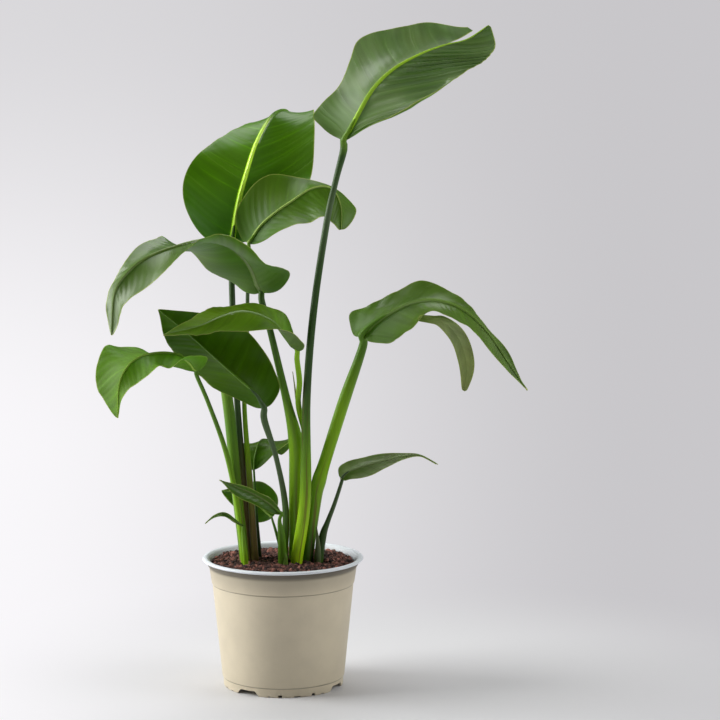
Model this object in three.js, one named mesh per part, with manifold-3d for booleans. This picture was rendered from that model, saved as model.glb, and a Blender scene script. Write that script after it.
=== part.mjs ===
// A potted bird of paradise: a two-clump plant of thirteen open leaves and one young rolled
// leaf, each leaf one piece from its sheath in the soil to its tip, in a plastic nursery pot
// filled with granular soil.  Millimetres, +Z up, the origin at the middle of the pot's base,
// +X to the viewer's right and -Y towards the viewer.
import * as THREE from 'three';
import { mergeVertices } from 'three/addons/utils/BufferGeometryUtils.js';
import Module from 'manifold-3d';

const wasm = await Module();
wasm.setup();

// The pot.
const RIM_R = 95;            // outside of the rolled lip
const POT_H = 153.4;         // top of the lip
const WALL = 1.7;            // wall of the pot
const NECK_R = 87.2;         // body just under the lip
const UPPER_GROOVE = [84.0, 123.0];   // radius and height of the step under the neck band
const LOWER_GROOVE = [71.4, 11.0];    // radius and height of the step over the foot
const FOOT_R = 70.6;         // outside of the foot at the floor
const FLOOR_Z = 6.6;         // underside of the raised floor inside the foot skirt
const BOSS_R = 24;           // middle boss of the base, which reaches the floor
const DRAIN_R = 4;           // drain holes in the raised floor
const DRAIN_RING = 46;
const FIT = 0.35;            // clearance where one piece stands in another
const POT_SEGMENTS = 44;

// The soil.
const SOIL_Z = 147.2;        // mean height of the surface
const SOIL_BUMP = 1.5;       // its granular relief

// The leaves.
const BLADE = 1.0;           // thickness of a blade
const SLIT_SHORT = 16;       // how much sooner the left half of the split tip ends

// Each leaf: stalk holds its stations [x, y, z, radius]; midrib stations of the blade from base to tip;
// left and right are the vectors from the midrib to the blade's edge at full width; outline is
// the pair of powers of the half-width along the blade; belly bows each half; wave is the
// [height, number, phase] of the ripple of each edge, left then right; rib is the half-width
// of the midrib at the base; slit is [where it starts, how far it opens, where its left half ends,
// how far from the midrib it ends]; sheath is the pointed tip of a sheath that grows beside the stalk.
const LEAVES = {
  leaf_top: {
    stalk: [[15.5, -15, 106, 7.1], [16, -15, 148, 7.1], [26.5, -17, 224, 7.0], [28.6, -20.5, 342, 4.9],
      [37, -24, 447, 4.5], [52.5, -27, 550, 4.1], [63, -26, 598, 3.7], [72, -24, 633, 4.6]],
    mid: [[74, -24, 643], [89, -34, 674], [107, -42, 704], [130, -50, 726], [159, -58, 742],
      [186, -66, 752], [211, -72, 758.5], [235, -76, 774]],
    left: [[-56, 24, 21], [-61, 40, -2], [-45, 41, -2], [-50, 42, 10], [-68, 39, 21], [-56, 33, 25.5],
      [-38, 29, 30], [-22, 12, 15]],
    right: [[22, -20, 10], [35, -28, -8], [42, -31, -24], [50, -27, -25], [56, -26, -21], [58, -22, -19],
      [52, -16, -10.5], [24, -8, -7]],
    outline: [0.36, 0.5], belly: [0.07, 0.06], wave: [[1.6, 3, 0.1], [1.8, 4, 0.3]], rib: 2.6,
    rows: 15, slit: [0.76, 0.42, 1.04, 3],
  },
  leaf_rear_broad: {
    stalk: [[-35, 9, 106, 5.0], [-38, 9, 146, 5.0], [-47, 10, 243, 4.4], [-54, 13, 338, 3.8],
      [-58, 17, 420, 3.8], [-60, 24, 474, 3.8], [-61, 33, 518, 3.4]],
    mid: [[-60, 34, 521], [-53, 42, 566], [-43, 50, 604], [-31, 60, 640], [-14, 82, 669], [4, 114, 674],
      [9, 140, 653], [10, 157, 619]],
    left: [[-58, -16, -4], [-69, -15, 0], [-73, -2, -4], [-65, 6, -11], [-48, 7, -16], [-36, 3, -19],
      [-34, -6, -18], [-24, -4, -14]],
    right: [[60, -18, 3], [77, -14, 0], [77, 0, -5], [69, 4, 2], [56, 1, 1], [40, 2, 2], [28, -8, -10],
      [20, -8, -10]],
    outline: [0.36, 0.6], belly: [0.05, 0.1], wave: [[1.5, 3, 0.6], [1.5, 3, 0.1]], rib: 2.6, rows: 15,
  },
  leaf_rear_small: {
    stalk: [[-33, -3, 106, 4.5], [-33, -3, 146, 4.5], [-39, 5, 241, 3.6], [-45.5, 14, 336, 2.8],
      [-42, 19, 419, 2.5], [-41, 19, 467, 2.4], [-39, 16, 512, 2.4]],
    mid: [[-38, 15, 522], [-26, 14, 541], [-9, 12, 557], [12, 10, 572], [36, 8, 587], [57, 6, 587],
      [68, 2, 568], [69, -6, 540]],
    left: [[-32, 18, 10], [-37, 22, 20], [-34, 24, 28], [-25, 25, 30], [-12, 28, 10], [7, 31, -2],
      [24, 31, -8], [26, 16, -4]],
    right: [[16, -18, -6], [19, -25, -12], [18, -25, -14], [17, -24, -24], [12, -24, -33], [0, -25, -34],
      [-16, -20, -22], [-12, -8, -8]],
    outline: [0.4, 0.48], belly: [0.08, 0.08], wave: [[1.4, 4, 0.3], [1.6, 5, 0.0]], rib: 1.9, rows: 14,
  },
  leaf_left_high: {
    stalk: [[15, 4, 106, 8.2], [15, 4, 146, 8.4], [15.8, 1, 245, 8.6], [15, -5, 292, 8.6],
      [5, -11, 341, 5.2], [-14, -17, 425, 4.0], [-23, -21, 458, 4.0]],
    mid: [[-25, -22, 467], [-35, -42, 499], [-50, -62, 520], [-68, -82, 531], [-90, -102, 533],
      [-114, -118, 528], [-141, -132, 519], [-162, -142, 505], [-179, -148, 480], [-184, -150, 433]],
    left: [[52, -22, -3], [57, -33, -3], [36, -41, -11], [33, -43, -2], [33, -44, 13], [31, -40, 10],
      [23, -35, -11], [18, -28, -25], [15, -22, -23], [14, -12, -8]],
    right: [[-26, 30, -12], [-36, 46, -23], [-39, 42, -24], [-37, 40, -15], [-29, 41, -9], [-21, 41, 8],
      [-14, 37, 14], [-11, 28, 7], [-16, 25, 0], [-16, 16, 2]],
    outline: [0.38, 0.55], belly: [0.08, 0.08], wave: [[2.0, 4, 0.5], [2.2, 5, 0.2]], rib: 2.6, rows: 17,
  },
  leaf_left_low: {
    stalk: [[-44.5, -14, 106, 4.4], [-44.5, -14, 146, 4.4], [-54, -12, 222, 3.5], [-66.5, -15, 282, 3.1],
      [-85, -30, 340, 2.6], [-97.5, -43, 374, 2.5]],
    mid: [[-98.5, -45, 378], [-104, -58, 390], [-115, -72, 400], [-133, -94, 406], [-153, -114, 405],
      [-168, -128, 396], [-177, -138, 376], [-179, -142, 339]],
    left: [[22, -18, 8], [29, -28, 13], [13, -36, 3], [12, -31, -12], [21, -25, -9], [21, -17, -13],
      [11, -12, -9], [2, -6, 2]],
    right: [[-20, 24, -4], [-29, 31, -10], [-27, 30, -9], [-25, 32, -1], [-30, 36, 8], [-34, 34, 17],
      [-37, 32, -7], [-24, 18, 3]],
    outline: [0.38, 0.5], belly: [0.1, 0.08], wave: [[1.2, 3, 0.1], [2.2, 3, 0.6]], rib: 1.8, rows: 14,
  },
  leaf_middle_dark: {
    stalk: [[1, -4, 106, 4.4], [1, -4, 146, 4.4], [3.5, -8, 210, 3.9], [-6.5, -20, 272, 3.2],
      [-20, -34, 320, 4.2]],
    mid: [[-20, -38, 336], [-29, -41, 352], [-44, -43, 366], [-69, -45, 389], [-99, -49, 417],
      [-122, -53, 437], [-140, -56, 452]],
    left: [[-22, 12, -6], [-29, 18, -9], [-35, 24, -11], [-31, 28, -16], [-33, 30, -22], [-27, 22, -20],
      [-10, 8, -10]],
    right: [[22, 10, 4], [33, 17, 7], [37, 16, 15], [46, 18, 16], [61, 20, 17], [58, 16, 18], [32, 8, 9]],
    outline: [0.36, 0.62], belly: [0.05, 0.07], wave: [[1.0, 3, 0.2], [1.4, 3, 0.5]], rib: 2.0, rows: 14,
  },
  leaf_front_long: {
    stalk: [[29, 14, 106, 4.8], [29, 14, 146, 4.8], [29, 13, 223, 4.2], [28, 7, 288, 3.9],
      [19, -14.5, 335, 3.5], [20.5, -27, 365, 3.5], [18, -37, 392, 3.3]],
    mid: [[16, -40, 401], [5, -50, 418], [-9, -66, 438], [-30, -84, 450], [-47, -100, 453],
      [-66, -118, 449], [-89, -138, 441], [-126, -160, 434]],
    left: [[25, -18, 3], [27, -24, -5], [23, -35, -7], [14, -41, -14], [4, -43, -17], [-3, -42, -14],
      [-8, -34, -10], [-4, -12, -3]],
    right: [[4, 26, 14], [9, 37, 10], [8, 39, 11], [3, 41, 6], [-4, 43, 5], [-12, 46, 7], [-18, 41, 8],
      [-8, 14, 4]],
    outline: [0.38, 0.62], belly: [0.08, 0.08], wave: [[1.2, 4, 0.4], [1.4, 4, 0.1]], rib: 2.0, rows: 14,
    sheath: [[25.5, 0, 306, 1.8], [21, -7, 322, 1.9], [17, -11, 340, 1.4], [14.5, -13, 360, 0.8],
      [12.5, -14, 375, 0.4]],
  },
  leaf_right: {
    stalk: [[29, -6, 106, 6.2], [29, -6, 146, 6.2], [38.2, -1, 221, 7.4], [42.4, 1, 243, 8.6],
      [50, 3, 268, 7.3], [72, 8, 338, 7.4], [89, 10, 386, 5.9], [95, 10, 407, 5.2]],
    mid: [[96, 10, 413], [107, 6, 427], [126, 0, 441], [152, -8, 454], [177, -18, 458], [200, -28, 453],
      [221, -36, 440], [241, -46, 419], [260.5, -54, 390.5], [283, -60, 359]],
    left: [[-32, 28, -8], [-38, 38, -4], [-49, 39, -3], [-52, 38, -5], [-45, 40, 5], [-37, 42, 29],
      [-18, 34, 26], [-6, 24, 16], [4, 18, 23], [-2, 8, 6]],
    right: [[9, -24, -16], [10, -34, -25], [4, -35, -31], [-5, -33, -28], [-11, -32, -12], [-15, -30, -6],
      [-13, -29, -6], [-13, -26, -5], [-15, -20, -6], [-8, -8, -3]],
    outline: [0.38, 0.8], belly: [0.08, 0.08], wave: [[1.8, 4, 0.2], [1.4, 5, 0.6]], rib: 2.6, rows: 17,
    // the strip torn from the near half, which hangs down from its root in the blade
    strip: {
      mid: [[158, -40, 441], [173, -46, 440], [184, -48, 438], [197, -52, 428], [206, -55, 415],
        [212, -58, 396], [214, -60, 379], [211, -60, 358]],
      left: [[-2, 0, -5], [-3, 1, -5], [-4, 2, -6], [-6, 2, -7], [-8, 2, -6], [-10, 2, -2], [-10, 3, 0],
        [-7, 1, 1]],
      right: [[2, 0, 4], [3, -1, 4], [4, -1, 5], [7, -2, 6], [9, -2, 5], [10, -2, 3], [9, -3, 1],
        [6, -1, 0]],
      outline: [0.12, 0.25], belly: [0.05, 0.05], wave: [[0.5, 2, 0], [1.0, 2, 0.3]], rib: 0, rows: 9,
    },
  },
  leaf_small_right: {
    stalk: [[41, -6, 106, 5.4], [42, -6, 146, 5.4], [47, -2, 178, 4.6], [52.5, 1, 194, 3.2],
      [61, 4, 216, 2.6], [69.5, 8, 242, 2.2]],
    mid: [[70.5, 8, 244], [77, 4, 253], [95, 0, 261], [117, -6, 268], [140, -14, 275], [161, -20, 277],
      [182, -24, 267]],
    left: [[-9, 9, 3], [-12, 12, 5], [-13, 13, 5], [-10, 13, 7], [-6, 9, 6], [-3, 6, 4], [-1, 2, 2]],
    right: [[5, -9, -4], [5, -12, -7], [6, -12, -10], [3, -12, -9], [1, -8, -7], [0, -6, -5],
      [0, -2, -2]],
    outline: [0.36, 1.3], belly: [0.1, 0.1], wave: [[0.6, 3, 0.2], [0.6, 3, 0.6]], rib: 1.3, rows: 10,
    sheath: [[41, -10, 106, 4.2], [41, -10.5, 150, 4.2], [41.5, -11.5, 170, 2.8], [40.5, -12, 184, 1.2],
      [40, -12, 191, 0.5]],
  },
  leaf_small_rear: {
    stalk: [[-28, 15, 106, 2.6], [-28, 15, 146, 2.6], [-32, 18, 202, 1.7], [-35, 25, 250, 1.4]],
    mid: [[-35, 25, 252], [-34, 29, 267], [-30, 40, 281], [-24, 60, 283], [-12, 84, 275], [-5, 102, 258]],
    left: [[-22, -6, 2], [-30, -5, 2], [-36, -2, -1], [-34, 4, -4], [-26, 3, -5], [-14, 0, -4]],
    right: [[22, -6, 8], [29, -6, 6], [37, -1, 3], [36, 4, 3], [32, 3, 1], [24, 0, -2]],
    outline: [0.42, 0.7], belly: [0.1, 0.1], wave: [[0.7, 2, 0.2], [0.7, 2, 0.5]], rib: 1.2, rows: 10,
  },
  leaf_small_left: {
    stalk: [[0, -18, 106, 5.6], [0, -18, 148, 5.6], [-1, -26, 180, 4.6], [-3, -33, 202, 2.4]],
    mid: [[-2, -36, 210], [-16, -45, 225], [-34, -56, 238], [-52, -67, 248], [-70, -78, 258]],
    left: [[-8, -11, -1], [-12, -15, -1], [-14, -17, -2], [-12, -15, -3], [-4, -6, -1]],
    right: [[3, 11, 3], [4, 15, 2], [3, 15, 2], [0, 12, 3], [0, 6, 2]],
    outline: [0.42, 0.8], belly: [0.1, 0.1], wave: [[0.5, 2, 0.2], [0.5, 2, 0.5]], rib: 1.3, rows: 10,
    sheath: [[3.5, -22, 106, 3.0], [3.5, -22, 150, 3.0], [3, -23, 161, 1.7], [1.5, -23.5, 170, 0.5]],
  },
  leaf_small_low: {
    stalk: [[-1, 10, 106, 3.0], [-1, 10, 150, 3.0], [-8, 20, 175, 2.0], [-14, 28, 193, 1.4]],
    mid: [[-14, 28, 194], [-23, 32, 201], [-35, 34, 212], [-52, 34, 222], [-74, 34, 226]],
    left: [[-10, -4, -9], [-11, -8, -13], [-13, -6, -10], [-12, -5, -16], [-7, -2, -14]],
    right: [[12, 7, 9], [18, 9, 15], [18, 8, 18], [18, 9, 17], [8, 4, 6]],
    outline: [0.4, 0.7], belly: [0.08, 0.08], wave: [[0.6, 2, 0.2], [0.6, 2, 0.5]], rib: 1.2, rows: 10,
  },
  leaf_tiny_curled: {
    stalk: [[-43, -26, 106, 3.2], [-43, -26, 150, 3.2], [-45, -28, 176, 2.6], [-46, -29, 192, 1.6]],
    mid: [[-46, -29, 194], [-56, -38, 203], [-67, -47, 213], [-78, -54, 211], [-88, -61, 204]],
    left: [[3, -6, 2], [2, -7, -1], [2, -7, -2], [2, -6, -1], [1, -3, -1]],
    right: [[-2, 6, 4], [-1, 7, 3], [0, 6, 1], [-1, 6, 1], [0, 3, 1]],
    outline: [0.5, 0.8], belly: [0.15, 0.15], wave: [[0.3, 2, 0.2], [0.3, 2, 0.5]], rib: 0.9, rows: 9,
  },
};

// The young leaf of the left clump, still rolled.
const YOUNG_LEAF = [[-44.5, -3, 106, 5.6], [-45, -3, 146, 5.6], [-55, 0, 243, 6.3], [-61.5, 2, 316, 6.6],
  [-69, 4, 374, 6.2], [-74, 6, 412, 3.8], [-78, 7, 436, 0.9]];

// Curves.
// A cubic through hand-set stations of any number of values, t from 0 to their count less one.
function along(stations, t) {
  const last = stations.length - 1;
  const u = Math.min(Math.max(t, 0), last);
  const i = Math.min(Math.floor(u), last - 1);
  const f = u - i;
  const at = (k, c) => (k < 0 ? 2 * stations[0][c] - stations[1][c]
    : k > last ? 2 * stations[last][c] - stations[last - 1][c] : stations[k][c]);
  return stations[0].map((_, c) => {
    const a = at(i, c), b = at(i + 1, c);
    const m = (b - at(i - 1, c)) / 2, n = (at(i + 2, c) - a) / 2;
    return (2 * f ** 3 - 3 * f ** 2 + 1) * a + (f ** 3 - 2 * f ** 2 + f) * m
      + (3 * f ** 2 - 2 * f ** 3) * b + (f ** 3 - f ** 2) * n;
  });
}

const vec = (a) => new THREE.Vector3(a[0], a[1], a[2]);

// The station value at each share u of the curve's length.
function byLength(stations) {
  const steps = 400, t = [0], s = [0];
  let before = vec(along(stations, 0));
  for (let i = 1; i <= steps; i++) {
    const ti = (i / steps) * (stations.length - 1);
    const here = vec(along(stations, ti));
    t.push(ti);
    s.push(s[i - 1] + here.distanceTo(before));
    before = here;
  }
  return (u) => {
    const want = u * s[steps];
    let i = 1;
    while (i < steps && s[i] < want) i++;
    return t[i - 1] + (t[i] - t[i - 1]) * Math.min(1, (want - s[i - 1]) / (s[i] - s[i - 1] || 1));
  };
}

// Blades.
const widthShare = (u, [a, b]) => {
  const top = a / (a + b);
  return (Math.max(u, 0) ** a * Math.max(1 - u, 0) ** b) / (top ** a * (1 - top) ** b);
};

// One leaf blade as a sheet of rows and columns, thickened along its normals, with the midrib
// as a keel on its underside.  A slit parts the halves along the midrib near the tip.
function bladeMesh(leaf, columns) {
  const tOf = byLength(leaf.mid);
  const rows = leaf.rows;
  const verts = [], keel = [], tris = [], index = [];
  const put = (p, k) => { verts.push(p); keel.push(k); return verts.length - 1; };
  for (let i = 0; i <= rows; i++) {
    const e = i / rows;
    const u = 0.65 * e + 0.35 * (1 - Math.cos(Math.PI * e)) / 2;
    const t = tOf(u);
    const mid = vec(along(leaf.mid, t));
    const tangent = vec(along(leaf.mid, Math.min(t + 0.05, leaf.mid.length - 1)))
      .sub(vec(along(leaf.mid, Math.max(t - 0.05, 0)))).normalize();
    const row = [[], []];
    [leaf.left, leaf.right].forEach((side, s) => {
      const slit = leaf.slit && u > leaf.slit[0];
      const open = slit && s === 0 ? ((u - leaf.slit[0]) / (1 - leaf.slit[0])) ** 1.3 : 0;
      const end = leaf.slit && s === 0 ? leaf.slit[2] : 1;
      const reach = vec(along(side, t));
      const full = reach.length();
      const out = reach.clone().divideScalar(full);
      const up = new THREE.Vector3().crossVectors(out, tangent).normalize();
      if (s === 1) up.negate();
      const share = widthShare(Math.min(u / end, 1), leaf.outline);
      const rib = leaf.rib * (1 - 0.75 * u);
      const width = Math.max(share * full, rib + 1.2) + (open && leaf.slit[3] * open);
      const inner = open && leaf.slit[1] * open;
      const [height, count, phase] = leaf.wave[s];
      const shrink = slit && s === 0 ? (u - leaf.slit[0]) / (1 - leaf.slit[0]) : 0;
      for (let j = 0; j <= columns; j++) {
        let w = j === 0 ? 0 : rib + (width - rib) * ((j - 1) / (columns - 1));
        if (leaf.rib === 0) w = width * (j / columns);
        w = inner * width + (1 - inner) * w;
        const v = w / Math.max(full, 1e-6);
        const f = Math.min(w / width, 1);
        const bow = leaf.belly[s] * share * full * 4 * f * (1 - f)
          + height * f * f * share * Math.sin(2 * Math.PI * (count * u + phase));
        const p = mid.clone().addScaledVector(reach, v).addScaledVector(up, bow);
        if (shrink) p.addScaledVector(tangent, -shrink * SLIT_SHORT);
        row[s].push([p, j === 0 && leaf.rib && !(slit && s === 0) ? rib * 1.5 : 0]);
      }
    });
    const shared = !(leaf.slit && u > leaf.slit[0]);
    const left = row[0].map(([p, k]) => put(p, k));
    const right = row[1].map(([p, k], j) => (j === 0 && shared ? left[0] : put(p, k)));
    index.push([left, right]);
  }
  for (let i = 0; i < rows; i++) {
    for (let s = 0; s < 2; s++) {
      for (let j = 0; j < columns; j++) {
        const near = index[i][s], far = index[i + 1][s];
        const a = near[j], b = far[j], c = far[j + 1], d = near[j + 1];
        const quad = verts[a].distanceTo(verts[c]) < verts[b].distanceTo(verts[d])
          ? [[a, b, c], [a, c, d]] : [[a, b, d], [b, c, d]];
        for (const [p, q, r] of quad) tris.push(s === 0 ? [p, r, q] : [p, q, r]);
      }
    }
  }
  return thicken(verts, tris, keel);
}

// Both faces of a sheet, split alike, and a wall along every edge.
function thicken(verts, tris, keel) {
  const normals = verts.map(() => new THREE.Vector3());
  const ab = new THREE.Vector3(), ac = new THREE.Vector3();
  for (const [a, b, c] of tris) {
    ab.subVectors(verts[b], verts[a]);
    ac.subVectors(verts[c], verts[a]);
    const n = ab.cross(ac).negate();
    normals[a].add(n); normals[b].add(n); normals[c].add(n);
  }
  const n = verts.length, positions = [], faces = [];
  normals.forEach((normal) => normal.normalize());
  verts.forEach((p, i) => positions.push(p.clone().addScaledVector(normals[i], BLADE / 2 + keel[i])));
  verts.forEach((p, i) => positions.push(p.clone().addScaledVector(normals[i], -BLADE / 2)));
  const edges = new Map();
  for (const [a, b, c] of tris) {
    faces.push([a, c, b], [a + n, b + n, c + n]);
    for (const [p, q] of [[a, b], [b, c], [c, a]]) {
      const key = p < q ? `${p},${q}` : `${q},${p}`;
      edges.has(key) ? edges.delete(key) : edges.set(key, [p, q]);
    }
  }
  for (const [p, q] of edges.values()) faces.push([p, q, q + n], [p, q + n, p + n]);
  return solid(positions, faces);
}

// The stalk's own stations, then two that bring it along the underside of the blade's base.
function stalkStations(leaf) {
  const tOf = byLength(leaf.mid);
  const r = leaf.stalk[leaf.stalk.length - 1][3];
  const ends = [[0, 0.95, 0.9], [0.05, 0.8, 0.6]].map(([u, drop, thin]) => {
    const t = tOf(u);
    const tangent = vec(along(leaf.mid, t + 0.05));
    tangent.sub(vec(along(leaf.mid, Math.max(t - 0.05, 0)))).normalize();
    const up = new THREE.Vector3();
    up.add(new THREE.Vector3().crossVectors(vec(along(leaf.left, t)), tangent).normalize());
    up.sub(new THREE.Vector3().crossVectors(vec(along(leaf.right, t)), tangent).normalize());
    const p = vec(along(leaf.mid, t)).addScaledVector(up.normalize(), -drop * r);
    return [p.x, p.y, p.z, thin * r];
  });
  return [...leaf.stalk, ...ends];
}

// Stalks.
// A stalk through its stations, swept with a frame that doesn't twist and closed by flat ends.
function stalkMesh(stations, sides, rows, grow = 0) {
  const tOf = byLength(stations);
  const positions = [], faces = [];
  let x = new THREE.Vector3(1, 0, 0);
  for (let i = 0; i <= rows; i++) {
    const t = tOf(i / rows);
    const [px, py, pz, r] = along(stations, t);
    const dir = vec(along(stations, Math.min(t + 0.05, stations.length - 1)))
      .sub(vec(along(stations, Math.max(t - 0.05, 0)))).normalize();
    x.addScaledVector(dir, -x.dot(dir)).normalize();
    const y = new THREE.Vector3().crossVectors(dir, x);
    const centre = new THREE.Vector3(px, py, pz);
    if (grow && i === 0) centre.addScaledVector(dir, -grow);
    for (let j = 0; j < sides; j++) {
      const a = (2 * Math.PI * j) / sides;
      const aside = centre.clone().addScaledVector(x, (r + grow) * Math.cos(a));
      positions.push(aside.addScaledVector(y, (r + grow) * Math.sin(a)));
    }
  }
  for (let i = 0; i < rows; i++) {
    for (let j = 0; j < sides; j++) {
      const k = (j + 1) % sides;
      const a = i * sides + j, b = i * sides + k, c = (i + 1) * sides + k, d = (i + 1) * sides + j;
      faces.push([a, b, c], [a, c, d]);
    }
  }
  for (let j = 1; j < sides - 1; j++) {
    faces.push([0, j + 1, j]);
    faces.push([rows * sides, rows * sides + j, rows * sides + j + 1]);
  }
  return solid(positions, faces);
}

// Solids.
function solid(positions, faces) {
  return new wasm.Manifold(new wasm.Mesh({
    numProp: 3,
    vertProperties: Float32Array.from(positions.flatMap((p) => [p.x, p.y, p.z])),
    triVerts: Uint32Array.from(faces.flat()),
  }));
}

function solidOf(geometry) {
  const bare = geometry.clone();
  bare.deleteAttribute('normal');
  bare.deleteAttribute('uv');
  const merged = mergeVertices(bare, 1e-4);
  return new wasm.Manifold(new wasm.Mesh({
    numProp: 3,
    vertProperties: Float32Array.from(merged.attributes.position.array),
    triVerts: Uint32Array.from(merged.index.array),
  }));
}

function geometryOf(manifold) {
  const mesh = manifold.getMesh();
  const bare = new THREE.BufferGeometry();
  const positions = new Float32Array(mesh.numVert * 3);
  for (let i = 0; i < mesh.numVert; i++) {
    for (let c = 0; c < 3; c++) positions[3 * i + c] = mesh.vertProperties[i * mesh.numProp + c];
  }
  bare.setAttribute('position', new THREE.BufferAttribute(positions, 3));
  bare.setIndex(Array.from(mesh.triVerts));
  bare.computeVertexNormals();
  return bare;
}

function turned(profile, segments) {
  const geometry = new THREE.LatheGeometry(profile.map(([r, z]) => new THREE.Vector2(r, z)), segments);
  geometry.rotateX(Math.PI / 2);
  return solidOf(geometry);
}

// A block across the foot skirt at the angle (degrees from the viewer towards +X), as wide as
// low at the floor and top at its height.
function notch(angle, low, top, height) {
  const shape = new THREE.Shape();
  shape.moveTo(-low / 2, -1);
  shape.lineTo(low / 2, -1);
  shape.lineTo(top / 2, height);
  shape.lineTo(-top / 2, height);
  shape.closePath();
  const geometry = new THREE.ExtrudeGeometry(shape, { depth: 12, bevelEnabled: false });
  geometry.rotateX(Math.PI / 2);          // x stays, the shape's y becomes z, the depth becomes -y
  geometry.translate(0, -62, 0);
  geometry.rotateZ((angle * Math.PI) / 180);
  return solidOf(geometry);
}

function potSolid() {
  const [ru, zu] = UPPER_GROOVE, [rl, zl] = LOWER_GROOVE;
  const profile = [
    [0, 0], [BOSS_R - 1, 0], [BOSS_R + 1, FLOOR_Z], [FOOT_R - 2.4, FLOOR_Z], [FOOT_R - 1.8, 0],
    [FOOT_R - 0.3, 0], [FOOT_R, 0.5], [rl - 0.2, zl - 0.8], [rl + 0.7, zl + 0.8],
    [ru - 0.8, zu - 1.0], [ru + 0.3, zu],
    [NECK_R, 142.6], [NECK_R + 1.8, 143.4], [NECK_R + 2.1, 148.6], [RIM_R - 0.8, 149.4],
    [RIM_R, 151.0], [RIM_R - 0.9, 152.6], [RIM_R - 3.0, POT_H], [RIM_R - 5.0, POT_H - 0.3],
    [NECK_R + 0.6, 151.2], [NECK_R - 1.0, 147.6], [ru - 1.4, zu], [ru - 2.5, zu - 1.2],
    [rl - 1.0, zl + 0.8], [FOOT_R - 2.0, FLOOR_Z + WALL], [BOSS_R - 0.8, FLOOR_Z + WALL],
    [BOSS_R - 2.4, WALL], [0, WALL],
  ];
  let pot = turned(profile, POT_SEGMENTS);
  for (const side of [0, 180]) {
    for (const a of [-35, 65]) pot = pot.subtract(notch(side + a, 32, 21, 5.9));
    for (const a of [15]) pot = pot.subtract(notch(side + a, 8, 8, 1.5));
    for (const a of [-1.5, 31.5]) pot = pot.subtract(notch(side + a, 4.7, 4.7, 3));
    for (const a of [-12, 42]) pot = pot.subtract(notch(side + a, 3, 3, 1.5));
    for (const a of [98, 112]) pot = pot.subtract(notch(side + a, 4, 4, 2));
    for (const a of [86, 124]) pot = pot.subtract(notch(side + a, 3, 3, 1.5));
  }
  for (let i = 0; i < 6; i++) {
    const drill = new THREE.CylinderGeometry(DRAIN_R, DRAIN_R, 6, 10);
    drill.rotateX(Math.PI / 2);
    const turn = (i + 0.5) * Math.PI / 3;
    drill.translate(DRAIN_RING * Math.cos(turn), DRAIN_RING * Math.sin(turn), FLOOR_Z + 1);
    pot = pot.subtract(solidOf(drill));
  }
  return pot;
}

// The same number between -1 and 1 for the same pair, for the granules of the soil.
const grain = (i, j) => {
  const s = Math.sin(i * 127.1 + j * 311.7) * 43758.5453;
  return 2 * (s - Math.floor(s)) - 1;
};

function soilSolid(stems) {
  const [ru, zu] = UPPER_GROOVE, [rl, zl] = LOWER_GROOVE;
  const g = FIT;
  // inside of the pot at the same heights, less the clearance, from the boss up
  const side = [
    [BOSS_R - 2.6 - g, WALL + g], [BOSS_R - 1.0 - g, FLOOR_Z + WALL + g],
    [FOOT_R - 2.2 - g, FLOOR_Z + WALL + g], [rl - 1.2 - g, zl + 0.9],
    [ru - 2.7 - g, zu - 1.5], [ru - 1.6 - g, zu + 0.4], [NECK_R - 2.3 - g, 145.0],
  ];
  const around = 30, rings = [14, 28, 40, 52, 63, 72, 79];
  const positions = [], faces = [];
  const ring = (r, z) => {
    const start = positions.length;
    for (let j = 0; j < around; j++) {
      const a = (2 * Math.PI * j) / around;
      // the ring's corners keep to the round wall's flats
      const height = typeof z === 'function' ? z(j) : z;
      positions.push(new THREE.Vector3(r * Math.cos(a), r * Math.sin(a), height));
    }
    return start;
  };
  const bottom = positions.push(new THREE.Vector3(0, 0, WALL + g)) - 1;
  let before = null;
  const join = (start) => {
    for (let j = 0; j < around; j++) {
      const k = (j + 1) % around;
      if (before === null) faces.push([bottom, start + k, start + j]);
      else faces.push([before + j, before + k, start + k], [before + j, start + k, start + j]);
    }
    before = start;
  };
  for (const [r, z] of side) join(ring(r, z));
  rings.slice().reverse().forEach((r, n) => {
    join(ring(r, (j) => SOIL_Z - 0.4 + (79 - r) / 79 + SOIL_BUMP * grain(j, n + 3)));
  });
  const top = positions.push(new THREE.Vector3(0, 0, SOIL_Z + 0.8)) - 1;
  for (let j = 0; j < around; j++) faces.push([before + j, before + (j + 1) % around, top]);
  let soil = solid(positions, faces);
  for (const stem of stems) soil = soil.subtract(stem);
  return soil;
}

// Materials.
const paint = (color, roughness) => new THREE.MeshStandardMaterial({ color, roughness, metalness: 0 });
const GREEN = paint(0x3f7a24, 0.42);
const DEEP = paint(0x2c5a1c, 0.4);
const YOUNG = paint(0x5d8f2f, 0.45);
const POT = paint(0xbfae88, 0.62);
const SOIL = paint(0x3d2a22, 0.95);

// The assembly.
const plant = new THREE.Group();
const add = (name, manifold, material) => {
  const mesh = new THREE.Mesh(geometryOf(manifold), material);
  mesh.name = name;
  plant.add(mesh);
};

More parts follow.
